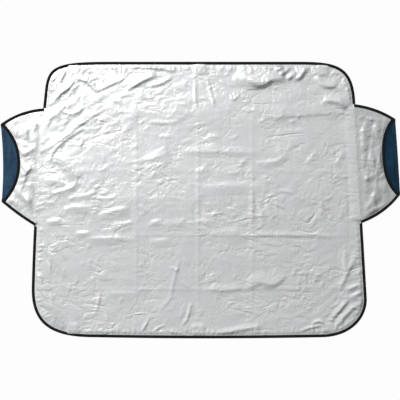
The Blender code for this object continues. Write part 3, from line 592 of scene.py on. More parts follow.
def stamp_fold(raster, crest, height, lit, shade, sharp=SCATTER_SHARP):
    """A fold along a crest: each side slopes to the ground over its own width, lit or shaded."""
    path = curve_through(crest, 0.006)
    xi, yi, xs, ys = raster.window(path, max(lit, shade))
    off = np.full((xs.shape[0], ys.shape[1]), np.inf)
    along = np.zeros_like(off)
    facing = np.zeros_like(off)
    gone = walked(path)
    for a, b, start, end in zip(path[:-1], path[1:], gone[:-1], gone[1:]):
        share, dx, dy = from_segment(xs, ys, a, b)
        distance = np.hypot(dx, dy)
        nearer = distance < off
        off = np.where(nearer, distance, off)
        along = np.where(nearer, (start + share * (end - start)) / gone[-1], along)
        facing = np.where(nearer, (dx * TO_LIGHT[0] + dy * TO_LIGHT[1]) / (distance + 1e-6), facing)
    width = shade + (lit - shade) * (0.5 + 0.5 * facing.clip(-1.0, 1.0))
    taper = np.sqrt(np.sin(np.pi * along).clip(0.0))
    raster.value[xi, yi] += height * taper * (1.0 - off / width).clip(0.0) ** sharp


def nearest_edge(raster, paths, reach):
    """Sets each cell to its distance from the nearest of the paths, up to a reach."""
    raster.value[:] = reach
    for path in paths:
        for a, b in zip(path[:-1], path[1:]):
            xi, yi, xs, ys = raster.window(np.array([a, b]), reach)
            _, dx, dy = from_segment(xs, ys, a, b)
            raster.value[xi, yi] = np.minimum(raster.value[xi, yi], np.hypot(dx, dy))


def twice_area(a, b, c):
    """Twice the signed area of triangles, positive where their corners turn to the left."""
    to_b, to_c = b - a, c - a
    return to_b[..., 0] * to_c[..., 1] - to_b[..., 1] * to_c[..., 0]


def facets(raster, spacing, stretch, angle, random):
    """Flat facets between scattered points of random height, as crumpled film has."""
    turn = np.array([[np.cos(angle), np.sin(angle)], [-np.sin(angle), np.cos(angle)]])
    corners = np.array([[0, 0], [1, 0], [0, 1], [1, 1]]) * (np.array(raster.shape) * raster.cell) + raster.low
    scale = np.array([spacing * stretch, spacing])
    spread = (corners @ turn.T) / scale
    low, high = np.floor(spread.min(axis=0)) - 2, np.ceil(spread.max(axis=0)) + 2
    grid = np.stack(np.meshgrid(np.arange(low[0], high[0]), np.arange(low[1], high[1]), indexing="ij"), -1)
    grid = grid.reshape(-1, 2)
    grid = grid + random.uniform(-FACET_STRAY, FACET_STRAY, grid.shape)
    heights = random.uniform(-1.0, 1.0, len(grid))
    places = (grid * scale) @ turn
    found, _, faces, origin, *_ = delaunay_2d_cdt([Vector(p) for p in places], [], [], 0, 1e-7)
    found = np.array([tuple(p) for p in found])
    out = np.zeros(raster.shape)
    for face in faces:
        a, b, c = found[list(face)]
        area = twice_area(a, b, c)
        if abs(area) < 1e-12:
            continue
        xi, yi, xs, ys = raster.window(np.array([a, b, c]), 0.0)
        if xs.size == 0 or ys.size == 0:
            continue
        u = ((xs - a[0]) * (c[1] - a[1]) - (ys - a[1]) * (c[0] - a[0])) / area
        v = ((b[0] - a[0]) * (ys - a[1]) - (b[1] - a[1]) * (xs - a[0])) / area
        h = [heights[origin[i][0]] for i in face]
        part = h[0] * (1 - u - v) + h[1] * u + h[2] * v
        held = (u >= -1e-6) & (v >= -1e-6) & (u + v <= 1 + 1e-6)
        out[xi, yi] = np.where(held, part, out[xi, yi])
    return out


def cloud(shape, radius, random):
    """Smooth noise from -1 to 1 with spots of about a radius in cells."""
    grid = blurred(random.normal(size=shape), radius)
    return grid / np.abs(grid).max()


def ridge_lines(raster, radius, width, random):
    """Narrow wandering ridges from 0 to 1 along the middle lines of a smooth noise."""
    spread = np.abs(cloud(raster.shape, radius, random)) / width
    strength = 0.5 + 0.5 * cloud(raster.shape, radius * 1.5, random)
    return (1.0 - spread).clip(0.0) * strength


def ripples(raster, angle, pitch, lit_share, random):
    """Skewed waves from 0 to 1, steep on one face: lit_share is how broad the lit face is."""
    xs, ys = raster.axes()
    turn = math.radians(angle)
    away = np.array([math.cos(turn), math.sin(turn)])
    if away @ TO_LIGHT > 0:
        away = -away
    reach = pitch / raster.cell
    phase = (xs * away[0] + ys * away[1]) / pitch
    phase = phase + cloud(raster.shape, reach * 1.6, random) * 2.2
    phase = phase + cloud(raster.shape, reach * 0.5, random) * 0.35
    part = phase - np.floor(phase)
    wave = np.where(part < lit_share, part / lit_share, (1.0 - part) / (1.0 - lit_share))
    return wave * (0.55 + 0.45 * cloud(raster.shape, reach * 0.7, random))


def add_wave(raster, wave, random):
    ((x, y),) = px(wave.centre)
    reach_x, reach_y = (reach / 1000 for reach in wave.reach)
    mask = zone(raster, [(x, y, reach_x, reach_y, 1.0)], 0.0)
    made = ripples(raster, wave.angle, wave.pitch / 1000, wave.lit, random)
    raster.value += mask * wave.height / 1000 * made


def zone(raster, spots, base):
    """A smooth map of strength: a base level and soft spots of (x, y, reach x, reach y, change)."""
    xs, ys = raster.axes()
    out = np.full(raster.shape, float(base))
    for x, y, rx, ry, change in spots:
        out += change * np.exp(-(((xs - x) / rx) ** 2) - ((ys - y) / ry) ** 2)
    return out.clip(0.0)


def px(text):
    """Points of the ground under the photograph's places, from 'x,y x,y'."""
    pairs = [tuple(float(v) for v in item.split(",")) for item in text.split()]
    return [((x - PHOTO_CENTRE[0]) * PHOTO_STEP, (PHOTO_CENTRE[1] - y) * PHOTO_STEP) for x, y in pairs]


Crease = namedtuple("Crease", "line height lit shade")
# Folds of the sheet: crest in the photograph's places, then height and both widths in millimetres
SHEET_FOLDS = [
    Crease("55,101 63,93 71,87 75,80", 4.6, 26, 7),
    Crease("75,80 80,80 88,82 98,92", 3.4, 24, 6),
    Crease("98,92 108,87 125,79", 2.6, 30, 6),
    Crease("66,70 63,77 61,83", 3.2, 9, 6),
    Crease("54,79 51,87 50,95", 3.4, 8, 6),
    Crease("55,82 56,87 57,92", 1.8, 7, 5),
    Crease("60,109 65,113 75,115", 1.8, 12, 7),
    Crease("91,118 78,128 62,140 48,150", 2.6, 20, 9),
    Crease("86,128 70,138 56,150 50,163", 2.4, 16, 9),
    Crease("85,137 82,143 81,149", 1.8, 12, 6),
    Crease("110,66 114,69 118,72", 1.6, 8, 5),
    Crease("118,66 138,67 160,69 176,72", 2.8, 16, 6),
    Crease("128,91 143,82 157,76", 4.2, 38, 11),
    Crease("150,87 162,84 172,79", 3.2, 14, 12),
    Crease("112,101 122,103", 1.2, 14, 10),
    Crease("120,97 135,95", 1.6, 14, 10),
    Crease("192,79 204,72 208,76", 1.6, 10, 7),
    Crease("207,78 211,92 215,108", 1.6, 14, 9),
    Crease("196,80 196,94 197,108", 1.2, 12, 8),
    Crease("220,81 226,85", 1.4, 8, 6),
    Crease("231,95 234,100 240,95", 2.0, 10, 6),
    Crease("180,104 190,107", 1.0, 12, 8),
    Crease("150,123 168,124 180,122", 1.2, 16, 9),
    Crease("239,73 247,79 256,83 266,84 275,81 287,79", 7.6, 120, 20),
    Crease("248,81 256,85 264,86 272,84", 2.5, 40, 9),
    Crease("276,71 281,69 285,64", 3.6, 40, 11),
    Crease("281,76 286,73 291,68", 4.2, 40, 12),
    Crease("287,80 292,78 297,72", 4.6, 40, 13),
    Crease("294,78 300,79 304,74 307,68", 5.0, 44, 13),
    Crease("318,76 322,83 328,87 338,87", 4.0, 40, 10),
    Crease("313,67 318,74 326,75", 2.6, 24, 8),
    Crease("325,101 334,102 341,104 348,109", 4.4, 44, 13),
    Crease("262,119 300,116 340,112", 1.6, 60, 10),
    Crease("346,115 352,112", 1.4, 8, 6),
    Crease("56,156 66,164 73,172 80,180", 3.4, 60, 16),
    Crease("44,178 54,180 64,183", 2.2, 8, 16),
    Crease("64,182 70,186 78,178", 1.6, 10, 12),
    Crease("51,193 60,190 74,186", 2.4, 10, 16),
    Crease("83,195 89,193 95,190", 1.7, 7, 12),
    Crease("64,208 76,206 92,207", 1.9, 10, 18),
    Crease("98,214 106,212 114,209 128,207", 2.2, 10, 18),
    Crease("46,221 60,219", 2.0, 9, 14),
    Crease("110,225 122,223 133,221", 1.8, 9, 16),
    Crease("75,232 90,232", 1.8, 7, 14),
    Crease("85,238 110,237 135,238", 2.0, 7, 18),
    Crease("139,204 144,209 147,212", 1.4, 7, 10),
    Crease("150,221 162,219", 1.5, 8, 12),
    Crease("142,160 155,154 166,149", 2.4, 30, 44),
    Crease("142,168 165,162", 1.4, 12, 26),
    Crease("195,172 200,168 207,163", 1.5, 16, 22),
    Crease("195,186 228,184 260,185", 1.4, 16, 22),
    Crease("253,190 253,225", 1.2, 20, 8),
    Crease("145,224 180,221 215,220", 1.1, 16, 26),
    Crease("205,233 225,230 245,230", 0.9, 16, 26),
    Crease("150,240 170,239", 1.2, 8, 18),
    Crease("180,153 220,153 260,155", 1.4, 26, 18),
    Crease("285,153 275,160 255,162", 1.6, 9, 14),
    Crease("315,150 310,157 305,163", 1.4, 8, 12),
    Crease("342,150 338,158 334,165", 1.4, 8, 12),
    Crease("322,200 320,214", 1.3, 8, 12),
    Crease("258,200 260,212 262,225", 1.4, 9, 12),
    Crease("265,200 269,209 273,218", 1.4, 9, 12),
    Crease("280,191 294,194", 1.3, 14, 8),
    Crease("272,203 285,209", 1.3, 14, 8),
    Crease("240,236 290,236 340,238", 1.2, 20, 9),
    Crease("36,272 43,292 52,308 66,327", 4.6, 12, 26),
    Crease("50,258 51,275", 1.6, 10, 7),
    Crease("41,240 53,258 65,277", 1.7, 9, 18),
    Crease("50,237 58,248 65,260", 1.4, 8, 16),
    Crease("101,291 99,303 96,315", 1.4, 12, 7),
    Crease("105,313 111,325 116,336", 1.5, 12, 7),
    Crease("103,292 120,292 138,292", 1.2, 12, 20),
    Crease("142,333 146,326 149,320", 2.4, 10, 6),
    Crease("159,313 170,300 173,288 180,260", 1.1, 14, 8),
    Crease("183,326 188,319 192,304", 2.2, 12, 7),
    Crease("152,333 160,328 166,325", 1.7, 8, 6),
    Crease("166,330 178,335", 1.5, 8, 6),
    Crease("218,335 240,331 262,327", 2.6, 20, 14),
    Crease("205,291 228,291 250,288", 1.4, 30, 12),
    Crease("248,289 262,284 275,286 287,277", 3.0, 60, 16),
    Crease("312,325 320,322 329,328", 3.0, 10, 8),
    Crease("300,332 312,328 324,326", 2.4, 9, 7),
    Crease("331,322 340,312 350,299", 2.8, 20, 10),
    Crease("335,330 345,318 358,305", 2.6, 20, 12),
    Crease("345,289 361,283", 2.4, 8, 9),
    Crease("348,297 361,291", 2.4, 8, 9),
    Crease("350,308 361,309", 1.8, 8, 8),
    Crease("340,291 348,275 357,256", 1.8, 18, 9),
    Crease("344,250 344,263 345,276", 1.6, 8, 12),
]
# Packing creases, straight across the sheet
PACKING = [
    Crease("137,75 137,150 137,235 137,332", 0.5, 16, 9),
    Crease("199,112 199,180 199,250 199,328", 0.6, 16, 9),
    Crease("253,95 253,150 253,225 253,322", 0.45, 16, 9),
    Crease("40,236 140,236 240,236 358,236", 0.5, 12, 12),
    Crease("40,290 140,290 240,290 356,288", 0.5, 12, 10),
    Crease("45,172 140,172 250,172 352,172", 0.3, 16, 14),
]
# Broad swells, added after the sheet has been let down to the ground
BROAD = [
    Crease("20,121 100,119 200,118 262,117 380,110", 1.6, 210, 70),
    Crease("20,236 120,236 240,236 380,237", 4.6, 500, 430),
]
Wave = namedtuple("Wave", "centre reach angle pitch lit height")
# Skewed waves by zones: centre in the photograph's places, reach and sizes in millimetres
WAVES = [
    Wave("80,105", (260, 170), 122, 46, 0.72, 1.1),
    Wave("60,170", (150, 200), 105, 46, 0.50, 0.8),
    Wave("150,95", (240, 90), 105, 60, 0.70, 0.8),
    Wave("300,85", (260, 90), 100, 60, 0.70, 0.7),
    Wave("335,290", (140, 170), 125, 40, 0.45, 0.9),
    Wave("220,205", (260, 130), 95, 70, 0.50, 0.6),
    Wave("320,180", (170, 150), 140, 60, 0.55, 0.8),
]
EAR_WAVES = [
    Wave("22,165", (130, 240), 125, 52, 0.75, 1.2),
    Wave("378,160", (130, 240), 172, 44, 0.14, 2.4),
]
# Zones of strength: middle, reach both ways, all in metres, and the change of strength there
FACET_SPOTS = [
    (-0.60, 0.42, 0.30, 0.24, 1.0), (-0.66, 0.02, 0.22, 0.40, 0.7), (0.45, 0.46, 0.38, 0.18, 0.7),
    (0.62, -0.42, 0.20, 0.26, 0.9), (0.55, 0.10, 0.30, 0.30, 0.35), (-0.60, -0.45, 0.22, 0.22, 0.5),
    (-0.25, 0.48, 0.40, 0.12, 0.4),
]
FINE_SPOTS = [(0.49, -0.37, 0.08, 0.08, 1.5), (-0.55, 0.45, 0.2, 0.14, 0.8)]
CREASED_SPOTS = [
    (-0.52, 0.06, 0.20, 0.26, 1.0), (-0.60, 0.44, 0.16, 0.12, 0.9), (-0.30, 0.30, 0.24, 0.14, 0.6),
    (0.45, 0.45, 0.26, 0.12, 0.6), (0.60, -0.40, 0.14, 0.16, 0.9), (0.10, 0.10, 0.30, 0.16, 0.35),
    (-0.30, -0.30, 0.30, 0.20, 0.10), (0.55, 0.10, 0.16, 0.26, 0.3),
]
EAR_SPOTS = [(-0.80, 0.16, 0.30, 0.60, 0.4)]
Scatter = namedtuple("Scatter", "centre corner count angle spread length height lit shade")
# Short creases by zones: middle and one corner in the photograph's places, then count, angle and sizes
SCATTER = [
    Scatter("75,95", "105,125", 70, 40, 28, 34, 1.1, 10, 6),
    Scatter("60,85", "72,100", 16, 62, 20, 26, 1.3, 7, 5),
    Scatter("75,165", "115,215", 90, 18, 35, 40, 0.8, 9, 8),
    Scatter("140,100", "190,130", 50, 15, 30, 38, 0.7, 10, 6),
    Scatter("215,90", "250,125", 36, -35, 35, 32, 1.0, 9, 6),
    Scatter("300,95", "350,125", 46, -10, 35, 34, 1.0, 9, 7),
    Scatter("190,180", "250,225", 60, 8, 22, 44, 0.7, 12, 10),
    Scatter("300,185", "350,230", 60, 60, 30, 34, 0.8, 9, 9),
    Scatter("312,286", "330,302", 34, 70, 40, 20, 1.0, 6, 5),
    Scatter("90,285", "130,325", 34, 75, 30, 36, 0.7, 10, 9),
    Scatter("190,290", "240,328", 30, 60, 35, 34, 0.7, 10, 8),
    Scatter("345,310", "362,335", 20, 35, 25, 34, 1.2, 9, 7),
]
EAR_FOLDS = [
    Crease("25,128 27,134 26,141", 3.0, 26, 13),
    Crease("15,129 17,133 17,138", 2.4, 20, 9),
    Crease("19,152 24,155 31,152 33,148", 3.0, 24, 14),
    Crease("21,177 27,174 32,167", 4.0, 28, 9),
    Crease("24,164 26,169 28,173", 2.0, 18, 6),
    Crease("21,184 25,181 28,176", 3.0, 18, 13),
    Crease("20,187 22,195 27,200 31,205 35,214", 4.4, 32, 11),
    Crease("28,184 33,189 36,196", 1.8, 16, 6),
    Crease("33,156 36,162 37,170", 1.8, 16, 7),
    Crease("39,138 38,145 36,152", 2.6, 22, 9),
    Crease("35,178 38,176 40,171", 2.2, 14, 7),
    Crease("34,184 37,187 39,192", 2.0, 14, 7),
    Crease("8,124 13,121 18,122", 1.4, 18, 14),
    Crease("33,121 36,126 37,132", 2.0, 18, 8),
    Crease("12,199 17,205 20,212", 2.0, 18, 9),
    Crease("355,124 360,119 366,117", 2.2, 10, 8),
    Crease("367,118 371,120 376,121", 2.4, 12, 7),
    Crease("361,122 362,132 361,140", 2.2, 14, 26),
    Crease("377,117 376,128 378,140", 3.0, 9, 24),
    Crease("371,148 372,158 374,168 378,175", 3.4, 7, 26),
    Crease("376,146 378,156 381,168", 2.6, 6, 18),
    Crease("360,137 362,143 364,150", 2.6, 11, 20),
    Crease("361,154 363,160 364,166", 1.8, 8, 18),
    Crease("361,170 364,175 364,181", 2.6, 7, 16),
    Crease("363,179 370,176 377,171", 1.5, 8, 14),
    Crease("361,212 366,207 371,200 373,194 379,199", 3.2, 12, 26),
    Crease("361,209 364,205 368,201", 1.8, 7, 16),
    Crease("381,180 382,186 385,192", 2.2, 7, 16),
    Crease("378,178 382,175 386,174", 2.0, 7, 10),
    Crease("371,183 375,187 377,192", 1.6, 7, 18),
    Crease("362,215 372,209 386,203", 1.6, 7, 14),
    Crease("367,217 378,211 388,206", 1.3, 7, 12),
]
EAR_SCATTER = [
    Scatter("24,160", "40,215", 60, 60, 60, 26, 0.9, 14, 5),
    Scatter("372,160", "390,215", 60, 70, 45, 26, 0.9, 5, 14),
]


def draw_sheet():
    """Heights of the crumpled sheet over its flat lay, in metres."""
    random = np.random.default_rng(11)
    raster = Raster(*SHEET_FIELD, CELL)
    swell = cloud(raster.shape, 18, random)
    film = (
        facets(raster, 0.085, 1.6, 0.5, random) * 0.0008
        + facets(raster, 0.042, 1.8, 0.6, random) * 0.00025
    )
    fine = facets(raster, 0.014, 1.3, 1.1, random) * 0.00025 * zone(raster, FINE_SPOTS, 0.1)
    creased = ridge_lines(raster, 7, 0.22, random) * 0.0005 + ridge_lines(raster, 12, 0.2, random) * 0.0009
    raster.value[:] = swell * 0.0012 + film * zone(raster, FACET_SPOTS, 0.75) + fine
    raster.value += creased * zone(raster, CREASED_SPOTS, 0.05)
    for wave in WAVES:
        add_wave(raster, wave, random)
    for crease in SHEET_FOLDS + PACKING:
        add_crease(raster, crease)
    for patch in SCATTER:
        scatter(raster, patch, random)
    ground = blurred(lowest_near(raster.value, 14), 10)
    raster.value = raster.value - ground + LOWEST_FILM
    for crease in BROAD:
        add_crease(raster, crease)
    add_gathers(raster, random)
    raster.value = blurred(raster.value, FINAL_BLUR).clip(0.0)
    return raster


def add_crease(raster, crease):
    """A listed fold, whose line is the middle of its narrower side, lit or shaded."""
    lit, shade = crease.lit / 1000, crease.shade / 1000
    shift = shade / 2 if lit >= shade else -lit / 2
    if lit < shade:
        shade *= STREAK_SHADE
    crest = np.array(px(crease.line)) + TO_LIGHT * shift
    stamp_fold(raster, crest, crease.height / 1000, lit, shade, FOLD_SHARP)


def scatter(raster, patch, random):
    """Short creases strewn over a rectangle, mostly along one direction."""
    (centre,), (corner,) = px(patch.centre), px(patch.corner)
    reach = np.abs(np.array(corner) - centre)
    for _ in range(patch.count):
        spot = np.array(centre) + reach * random.uniform(-1.0, 1.0, 2)
        turn = math.radians(patch.angle + random.normal() * patch.spread)
        run = np.array([math.cos(turn), math.sin(turn)])
        length = patch.length / 1000 * random.uniform(0.5, 1.5)
        bend = np.array([-run[1], run[0]]) * length * random.uniform(-0.18, 0.18)
        crest = [spot - run * length / 2, spot + bend, spot + run * length / 2]
        size = random.uniform(0.5, 1.3)
        lit, shade = patch.lit / 1000 * size, patch.shade / 1000 * size
        stamp_fold(raster, crest, patch.height / 1000 * size * random.uniform(0.6, 1.2), lit, shade)


def add_gathers(raster, random):
    """Short folds square to the tape, where the stitching draws the film in."""
    for path, across in ((TOP_EDGE, TOP_ACROSS), (BOTTOM_EDGE, BOTTOM_ACROSS)):
        gone = walked(path)
        place = GATHER_START
        while place < gone[-1] - GATHER_START:
            spot = np.array([np.interp(place, gone, path[:, k]) for k in (0, 1)])
            inward = unit(np.array([np.interp(place, gone, across[:, k]) for k in (0, 1)]))
            run = random.uniform(0.012, 0.045)
            lean = np.array([inward[1], -inward[0]]) * random.uniform(-0.35, 0.35)
            start = spot + inward * (BINDING_WIDTH - 0.001)
            crest = [start, start + (inward + lean * 0.4) * run * 0.5, start + (inward + lean) * run]
            width = random.uniform(0.004, 0.008)
            stamp_fold(raster, crest, random.uniform(0.0006, 0.0018), width * 1.5, width * 0.8)
            place += random.uniform(0.010, 0.030)


def draw_ears():
    """Heights of the two pockets' silver fronts over their flat lay, in metres."""
    random = np.random.default_rng(23)
    raster = Raster(*EAR_FIELD, CELL)
    film = (
        facets(raster, 0.060, 1.4, 0.9, random) * 0.0016
        + facets(raster, 0.030, 1.5, 0.5, random) * 0.0010
        + facets(raster, 0.015, 1.3, 1.2, random) * 0.00035
    )
    raster.value[:] = film * zone(raster, EAR_SPOTS, 0.28)
    for wave in EAR_WAVES:
        add_wave(raster, wave, random)
    for crease in EAR_FOLDS:
        add_crease(raster, crease)
    for patch in EAR_SCATTER:
        scatter(raster, patch, random)
    raster.value = raster.value - blurred(lowest_near(raster.value, 10), 8)
    raster.value = blurred(raster.value, FINAL_BLUR).clip(0.0)
    return raster


def panel_outline():
    top, bottom = TOP_EDGE + TOP_ACROSS * EDGE_INSET, BOTTOM_EDGE + BOTTOM_ACROSS * EDGE_INSET
    return np.vstack([top, RIGHT.seam_line(0.0), bottom, LEFT.seam_line(0.0)[::-1] * MIRROR])


def grid_inside(outline, step, clear):
    """A staggered grid inside a closed outline, at least a distance clear of it."""
    low, high = outline.min(axis=0), outline.max(axis=0)
    rows = []
    for number, y in enumerate(np.arange(low[1], high[1], step * 0.866)):
        xs = np.arange(low[0] + (step / 2 if number % 2 else 0.0), high[0], step)
        rows.append(np.stack([xs, np.full_like(xs, y)], axis=1))
    grid = np.vstack(rows)
    edge = Raster(low - 0.01, high + 0.01, 0.002)
    nearest_edge(edge, [np.vstack([outline, outline[:1]])], max(clear * 2, 0.006))
    grid = grid[edge.at(grid) > clear]
    return grid[inside(grid, outline)]


def filled(outline, loose):
    """Triangles over the outline's points and the loose ones, all facing up."""
    points = [Vector(p) for p in np.vstack([outline, loose])]
    ring = list(reversed(range(len(outline))))
    found, _, faces, origin, *_ = delaunay_2d_cdt(points, [], [ring], 1, 1e-6)
    found = np.array([tuple(p) for p in found])
    faces = np.array([tuple(face) for face in faces])
    turn = twice_area(*(found[faces[:, k]] for k in range(3)))
    faces[turn < 0] = faces[turn < 0][:, ::-1]
    place = {source: index for index, sources in enumerate(origin) for source in sources}
    return found, faces, [place[i] for i in range(len(outline))]


def closed_sheet(name, outline, top, low, step, low_step, finish):
    """A cloth layer: a fine upper face and a coarser lower one that share one outline."""
    upper, upper_faces, upper_ring = filled(outline, grid_inside(outline, step, step * 0.45))
    lower, lower_faces, lower_ring = filled(outline, grid_inside(outline, low_step, low_step * 0.45))
    points = np.vstack([np.column_stack([upper, top(upper)]), np.column_stack([lower, low(lower)])])
    first = len(upper)
    faces = [tuple(f) for f in upper_faces] + [tuple(f[::-1] + first) for f in lower_faces]
    count = len(outline)
    for i in range(count):
        j = (i + 1) % count
        faces.append((upper_ring[i], upper_ring[j], lower_ring[j] + first, lower_ring[i] + first))
    return new_piece(name, points, faces, finish)


def new_piece(name, points, faces, finish, uvs=None, sharp=50.0):
    """A closed mesh that rides on the cover's one body, with its faces turned outwards."""
    mesh = bpy.data.meshes.new(name)
    mesh.from_pydata([tuple(p) for p in points], [], [tuple(int(i) for i in f) for f in faces])
    mesh.update()
    if uvs is not None:
        layer = mesh.uv_layers.new(name="along")
        corner = np.empty(len(mesh.loops), int)
        mesh.loops.foreach_get("vertex_index", corner)
        layer.uv.foreach_set("vector", np.asarray(uvs, np.float32)[corner].ravel())
    mesh.shade_smooth()
    mesh.set_sharp_from_angle(angle=math.radians(sharp))
    mesh.materials.append(finish)
    piece = bpy.data.objects.new(name, mesh)
    bpy.context.scene.collection.objects.link(piece)
    outward(mesh)
    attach(piece, "root")
    return piece


def sheet_free(points):
    """0 where the sheet lies flat under its tape, 1 in the open."""
    return smooth((EDGE_ROOM.at(points) - BINDING_WIDTH - 0.0005) / SHEET_FADE)


def seam_ridge(points):
    """Small rise on both sides of the stitches that hold the sheet to the pockets."""
    total = np.zeros(len(points))
    y = points[:, 1]
    for side in (LEFT, RIGHT):
        inward, room = past_seam(side, points)
        edge, inner = (
            np.exp(-(((inward - place) / width) ** 2)) for place, width in zip(RIDGE_PLACES, RIDGE_WIDTHS)
        )
        wave = 0.65 + 0.35 * np.sin(y * 2 * np.pi / 0.0126 + 1.7 * np.sin(y * 41.0))
        total += RIDGE_HEIGHT * (edge + 0.8 * inner) * wave * smooth(room / 0.012)
    return total


def sheet_top(points):
    """Upper face of the sheet: the film, or what lies under it where that is higher."""
    film = sheet_free(points) * FILM.at(points)
    lift = np.maximum(magnet_lift(points), seam_climb(points))
    softer = 0.35 * (1.0 - (lift / MAGNET_LIFT).clip(0.0, 1.0))
    over = np.maximum(film, lift) + np.minimum(film, lift) * softer
    groove = stitch_groove(points) * (lift > 0.0005)
    return PANEL_LOW + SHEET + over + seam_ridge(points) * sheet_free(points) - groove


def raster_of(height, field, cell):
    raster = Raster(*field, cell)
    points = np.stack(np.broadcast_arrays(*raster.axes()), -1).reshape(-1, 2)
    raster.value = height(points).reshape(raster.shape)
    return raster


def add_sheet():
    """The panel as two pieces, the film and the lining just under it."""
    outline = resample(panel_outline(), 0.0052)
    outline = tidy(outline, 0.0008)
    under = raster_of(sheet_top, SHEET_FIELD, 0.004)
    under.value = lowest_near(blurred(lowest_near(under.value, 5), 1.5), 1)

    def down(depth):
        return lambda points: np.minimum(under.at(points), sheet_top(points)) - depth

    film = closed_sheet(
        "cover_sheet", outline, sheet_top, down(FILM_SHARE), FINE_STEP, UNDER_STEP, FINISH["silver"],
    )
    lining = closed_sheet(
        "cover_lining", outline, down(FILM_SHARE + LINING_GAP), down(SHEET), UNDER_STEP, UNDER_STEP,
        FINISH["blue"],
    )
    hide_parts("main_panel")
    return film, lining


def tape_section():
    """The folded tape's closed outline: depth from its outer line, share of its height, shift."""
    width, thick, crown = BINDING_WIDTH, TAPE, TAPE_CROWN
    upper = [(width, 1, 0.0), (width * 0.8, 1, crown * 0.55), (width * 0.5, 1, crown),
             (width * 0.22, 1, crown * 0.75), (0.0008, 1, 0.00005), (0.0002, 1, -0.0005)]
    lower = [(0.0002, 0, 0.0005), (0.0008, 0, 0.00002), (width * 0.5, 0, 0.0), (width, 0, 0.0)]
    inner = [(width, 0, thick), (width * 0.5, 0, thick), (thick + 0.0004, 0, thick),
             (thick + 0.0004, 1, -thick), (width * 0.5, 1, crown - thick), (width, 1, -thick)]
    return upper + lower + inner


def add_tape(name, path, across, low, high, seed, turned=()):
    """Folded tape along a path, its section swaying a little, with its two ends closed."""
    random = np.random.default_rng(seed)
    section = tape_section()
    length = walked(path)
    count = len(path)
    sway = np.convolve(random.normal(size=count + 12), np.hanning(13) / 6, "valid")
    lift = np.convolve(random.normal(size=count + 6), np.hanning(7) / 3.2, "valid")
    rows, uvs = [], []
    run = 0.0
    for k, (depth, share, shift) in enumerate(section):
        plan = path + across * (depth + sway * TAPE_SWAY * (depth > 0.004))[:, None]
        for end, inward in zip((0, -1), turned):
            if depth > SEAM_INSET:
                plan[end] = path[end] + across[end] * SEAM_INSET + inward * (depth - SEAM_INSET)
        height = low(plan) * (1 - share) + high(plan) * share + shift
        if share == 1:
            height = height + lift * TAPE_WAVE * (depth > 0.001)
        rows.append(np.column_stack([plan, height]))
        if k:
            run += abs(depth - section[k - 1][0]) + abs(shift - section[k - 1][2])
        uvs.append(np.column_stack([length, np.full(count, run)]))
    faces = []
    rings = len(section)
    for row in range(rings):
        a = row * count + np.arange(count - 1)
        b = (row + 1) % rings * count + np.arange(count - 1)
        faces.extend(np.stack([a, a + 1, b + 1, b], axis=1).tolist())
    faces.append([row * count for row in range(rings)])
    faces.append([row * count + count - 1 for row in reversed(range(rings))])
    return new_piece(name, np.vstack(rows), faces, FINISH["black"], np.vstack(uvs), 70.0)


def outward(mesh):
    """Turns the faces of a closed mesh outwards where its volume comes out negative."""
    mesh.calc_loop_triangles()
    corners = np.empty(len(mesh.vertices) * 3)
    mesh.vertices.foreach_get("co", corners)
    corners = corners.reshape(-1, 3)
    tris = np.array([tuple(t.vertices) for t in mesh.loop_triangles])
    a, b, c = (corners[tris[:, k]] for k in range(3))
    if np.einsum("ij,ij->i", a, np.cross(b, c)).sum() < 0:
        mesh.flip_normals()


def add_stitches(name, path, height, pitch, size, finish, slot):
    """A row of thread stitches along a path on the ground, each sunk at both ends."""
    length = walked(path)
    places = np.arange(pitch, length[-1] - pitch / 2, pitch)
    centre, ahead = (
        np.column_stack([np.interp(places + beyond, length, path[:, k]) for k in (0, 1)])
        for beyond in (0.0, pitch / 3)
    )
    run = ahead - centre
    run /= np.linalg.norm(run, axis=1)[:, None]
    side = np.column_stack([run[:, 1], -run[:, 0]])
    long, radius = size
    rings = [(-0.5, 0.35, -0.5), (-0.28, 0.95, 0.1), (0.28, 0.95, 0.1), (0.5, 0.35, -0.5)]
    points = []
    for at, thick, rise in rings:
        for turn in np.arange(6) * math.pi / 3:
            plan = centre + run * (at * long) + side * (math.cos(turn) * radius * thick)
            z = height(centre + run * (at * long)) + radius * (rise + math.sin(turn) * thick)
            points.append(np.column_stack([plan, z]))
    points = np.stack(points, axis=1)
    each = points.shape[1]
    local = [
        (ring * 6 + k, ring * 6 + (k + 1) % 6, ring * 6 + (k + 1) % 6 + 6, ring * 6 + k + 6)
        for ring in range(len(rings) - 1) for k in range(6)
    ]
    local += [tuple(range(5, -1, -1)), tuple(range(18, 24))]
    faces = [tuple(i + n * each for i in face) for n in range(len(places)) for face in local]
    return new_piece(name, points.reshape(-1, 3), faces, finish)


def level(height):
    return lambda points: np.full(len(points), height)


def add_edges():
    """The tapes round the panel above and below the pockets, with their rows of stitches."""
    pieces = []
    for name, node, edge, across, seed in (
        ("top_edge", "top_binding", TOP_EDGE, TOP_ACROSS, 5),
        ("bottom_edge", "bottom_binding", BOTTOM_EDGE, BOTTOM_ACROSS, 6),
    ):
        inward = np.array([np.sign(-edge[0][0]), 0.0])
        ends = (inward, -inward)
        tape = add_tape(f"{name}_tape", edge, across, level(0.0), level(PANEL_BINDING_TOP), seed, ends)
        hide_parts(node)
        stitches = add_stitches(
            f"{name}_stitches", edge + across * BINDING_WIDTH * 0.8,
            level(PANEL_BINDING_TOP + TAPE_CROWN * 0.55), *EDGE_STITCH, FINISH["thread"], "black_tape",
        )
        pieces += [tape, stitches]
    return pieces


def ear_free(side, points):
    out = points[:, 0] - side.out_at(points[:, 1])
    clear = smooth((along_and_off(points, side.mouth)[1] - BINDING_WIDTH - 0.0005) / 0.008)
    return clear * smooth((edge_room(side, points) + 0.001) / 0.012) * smooth((out - 0.001) / 0.034)


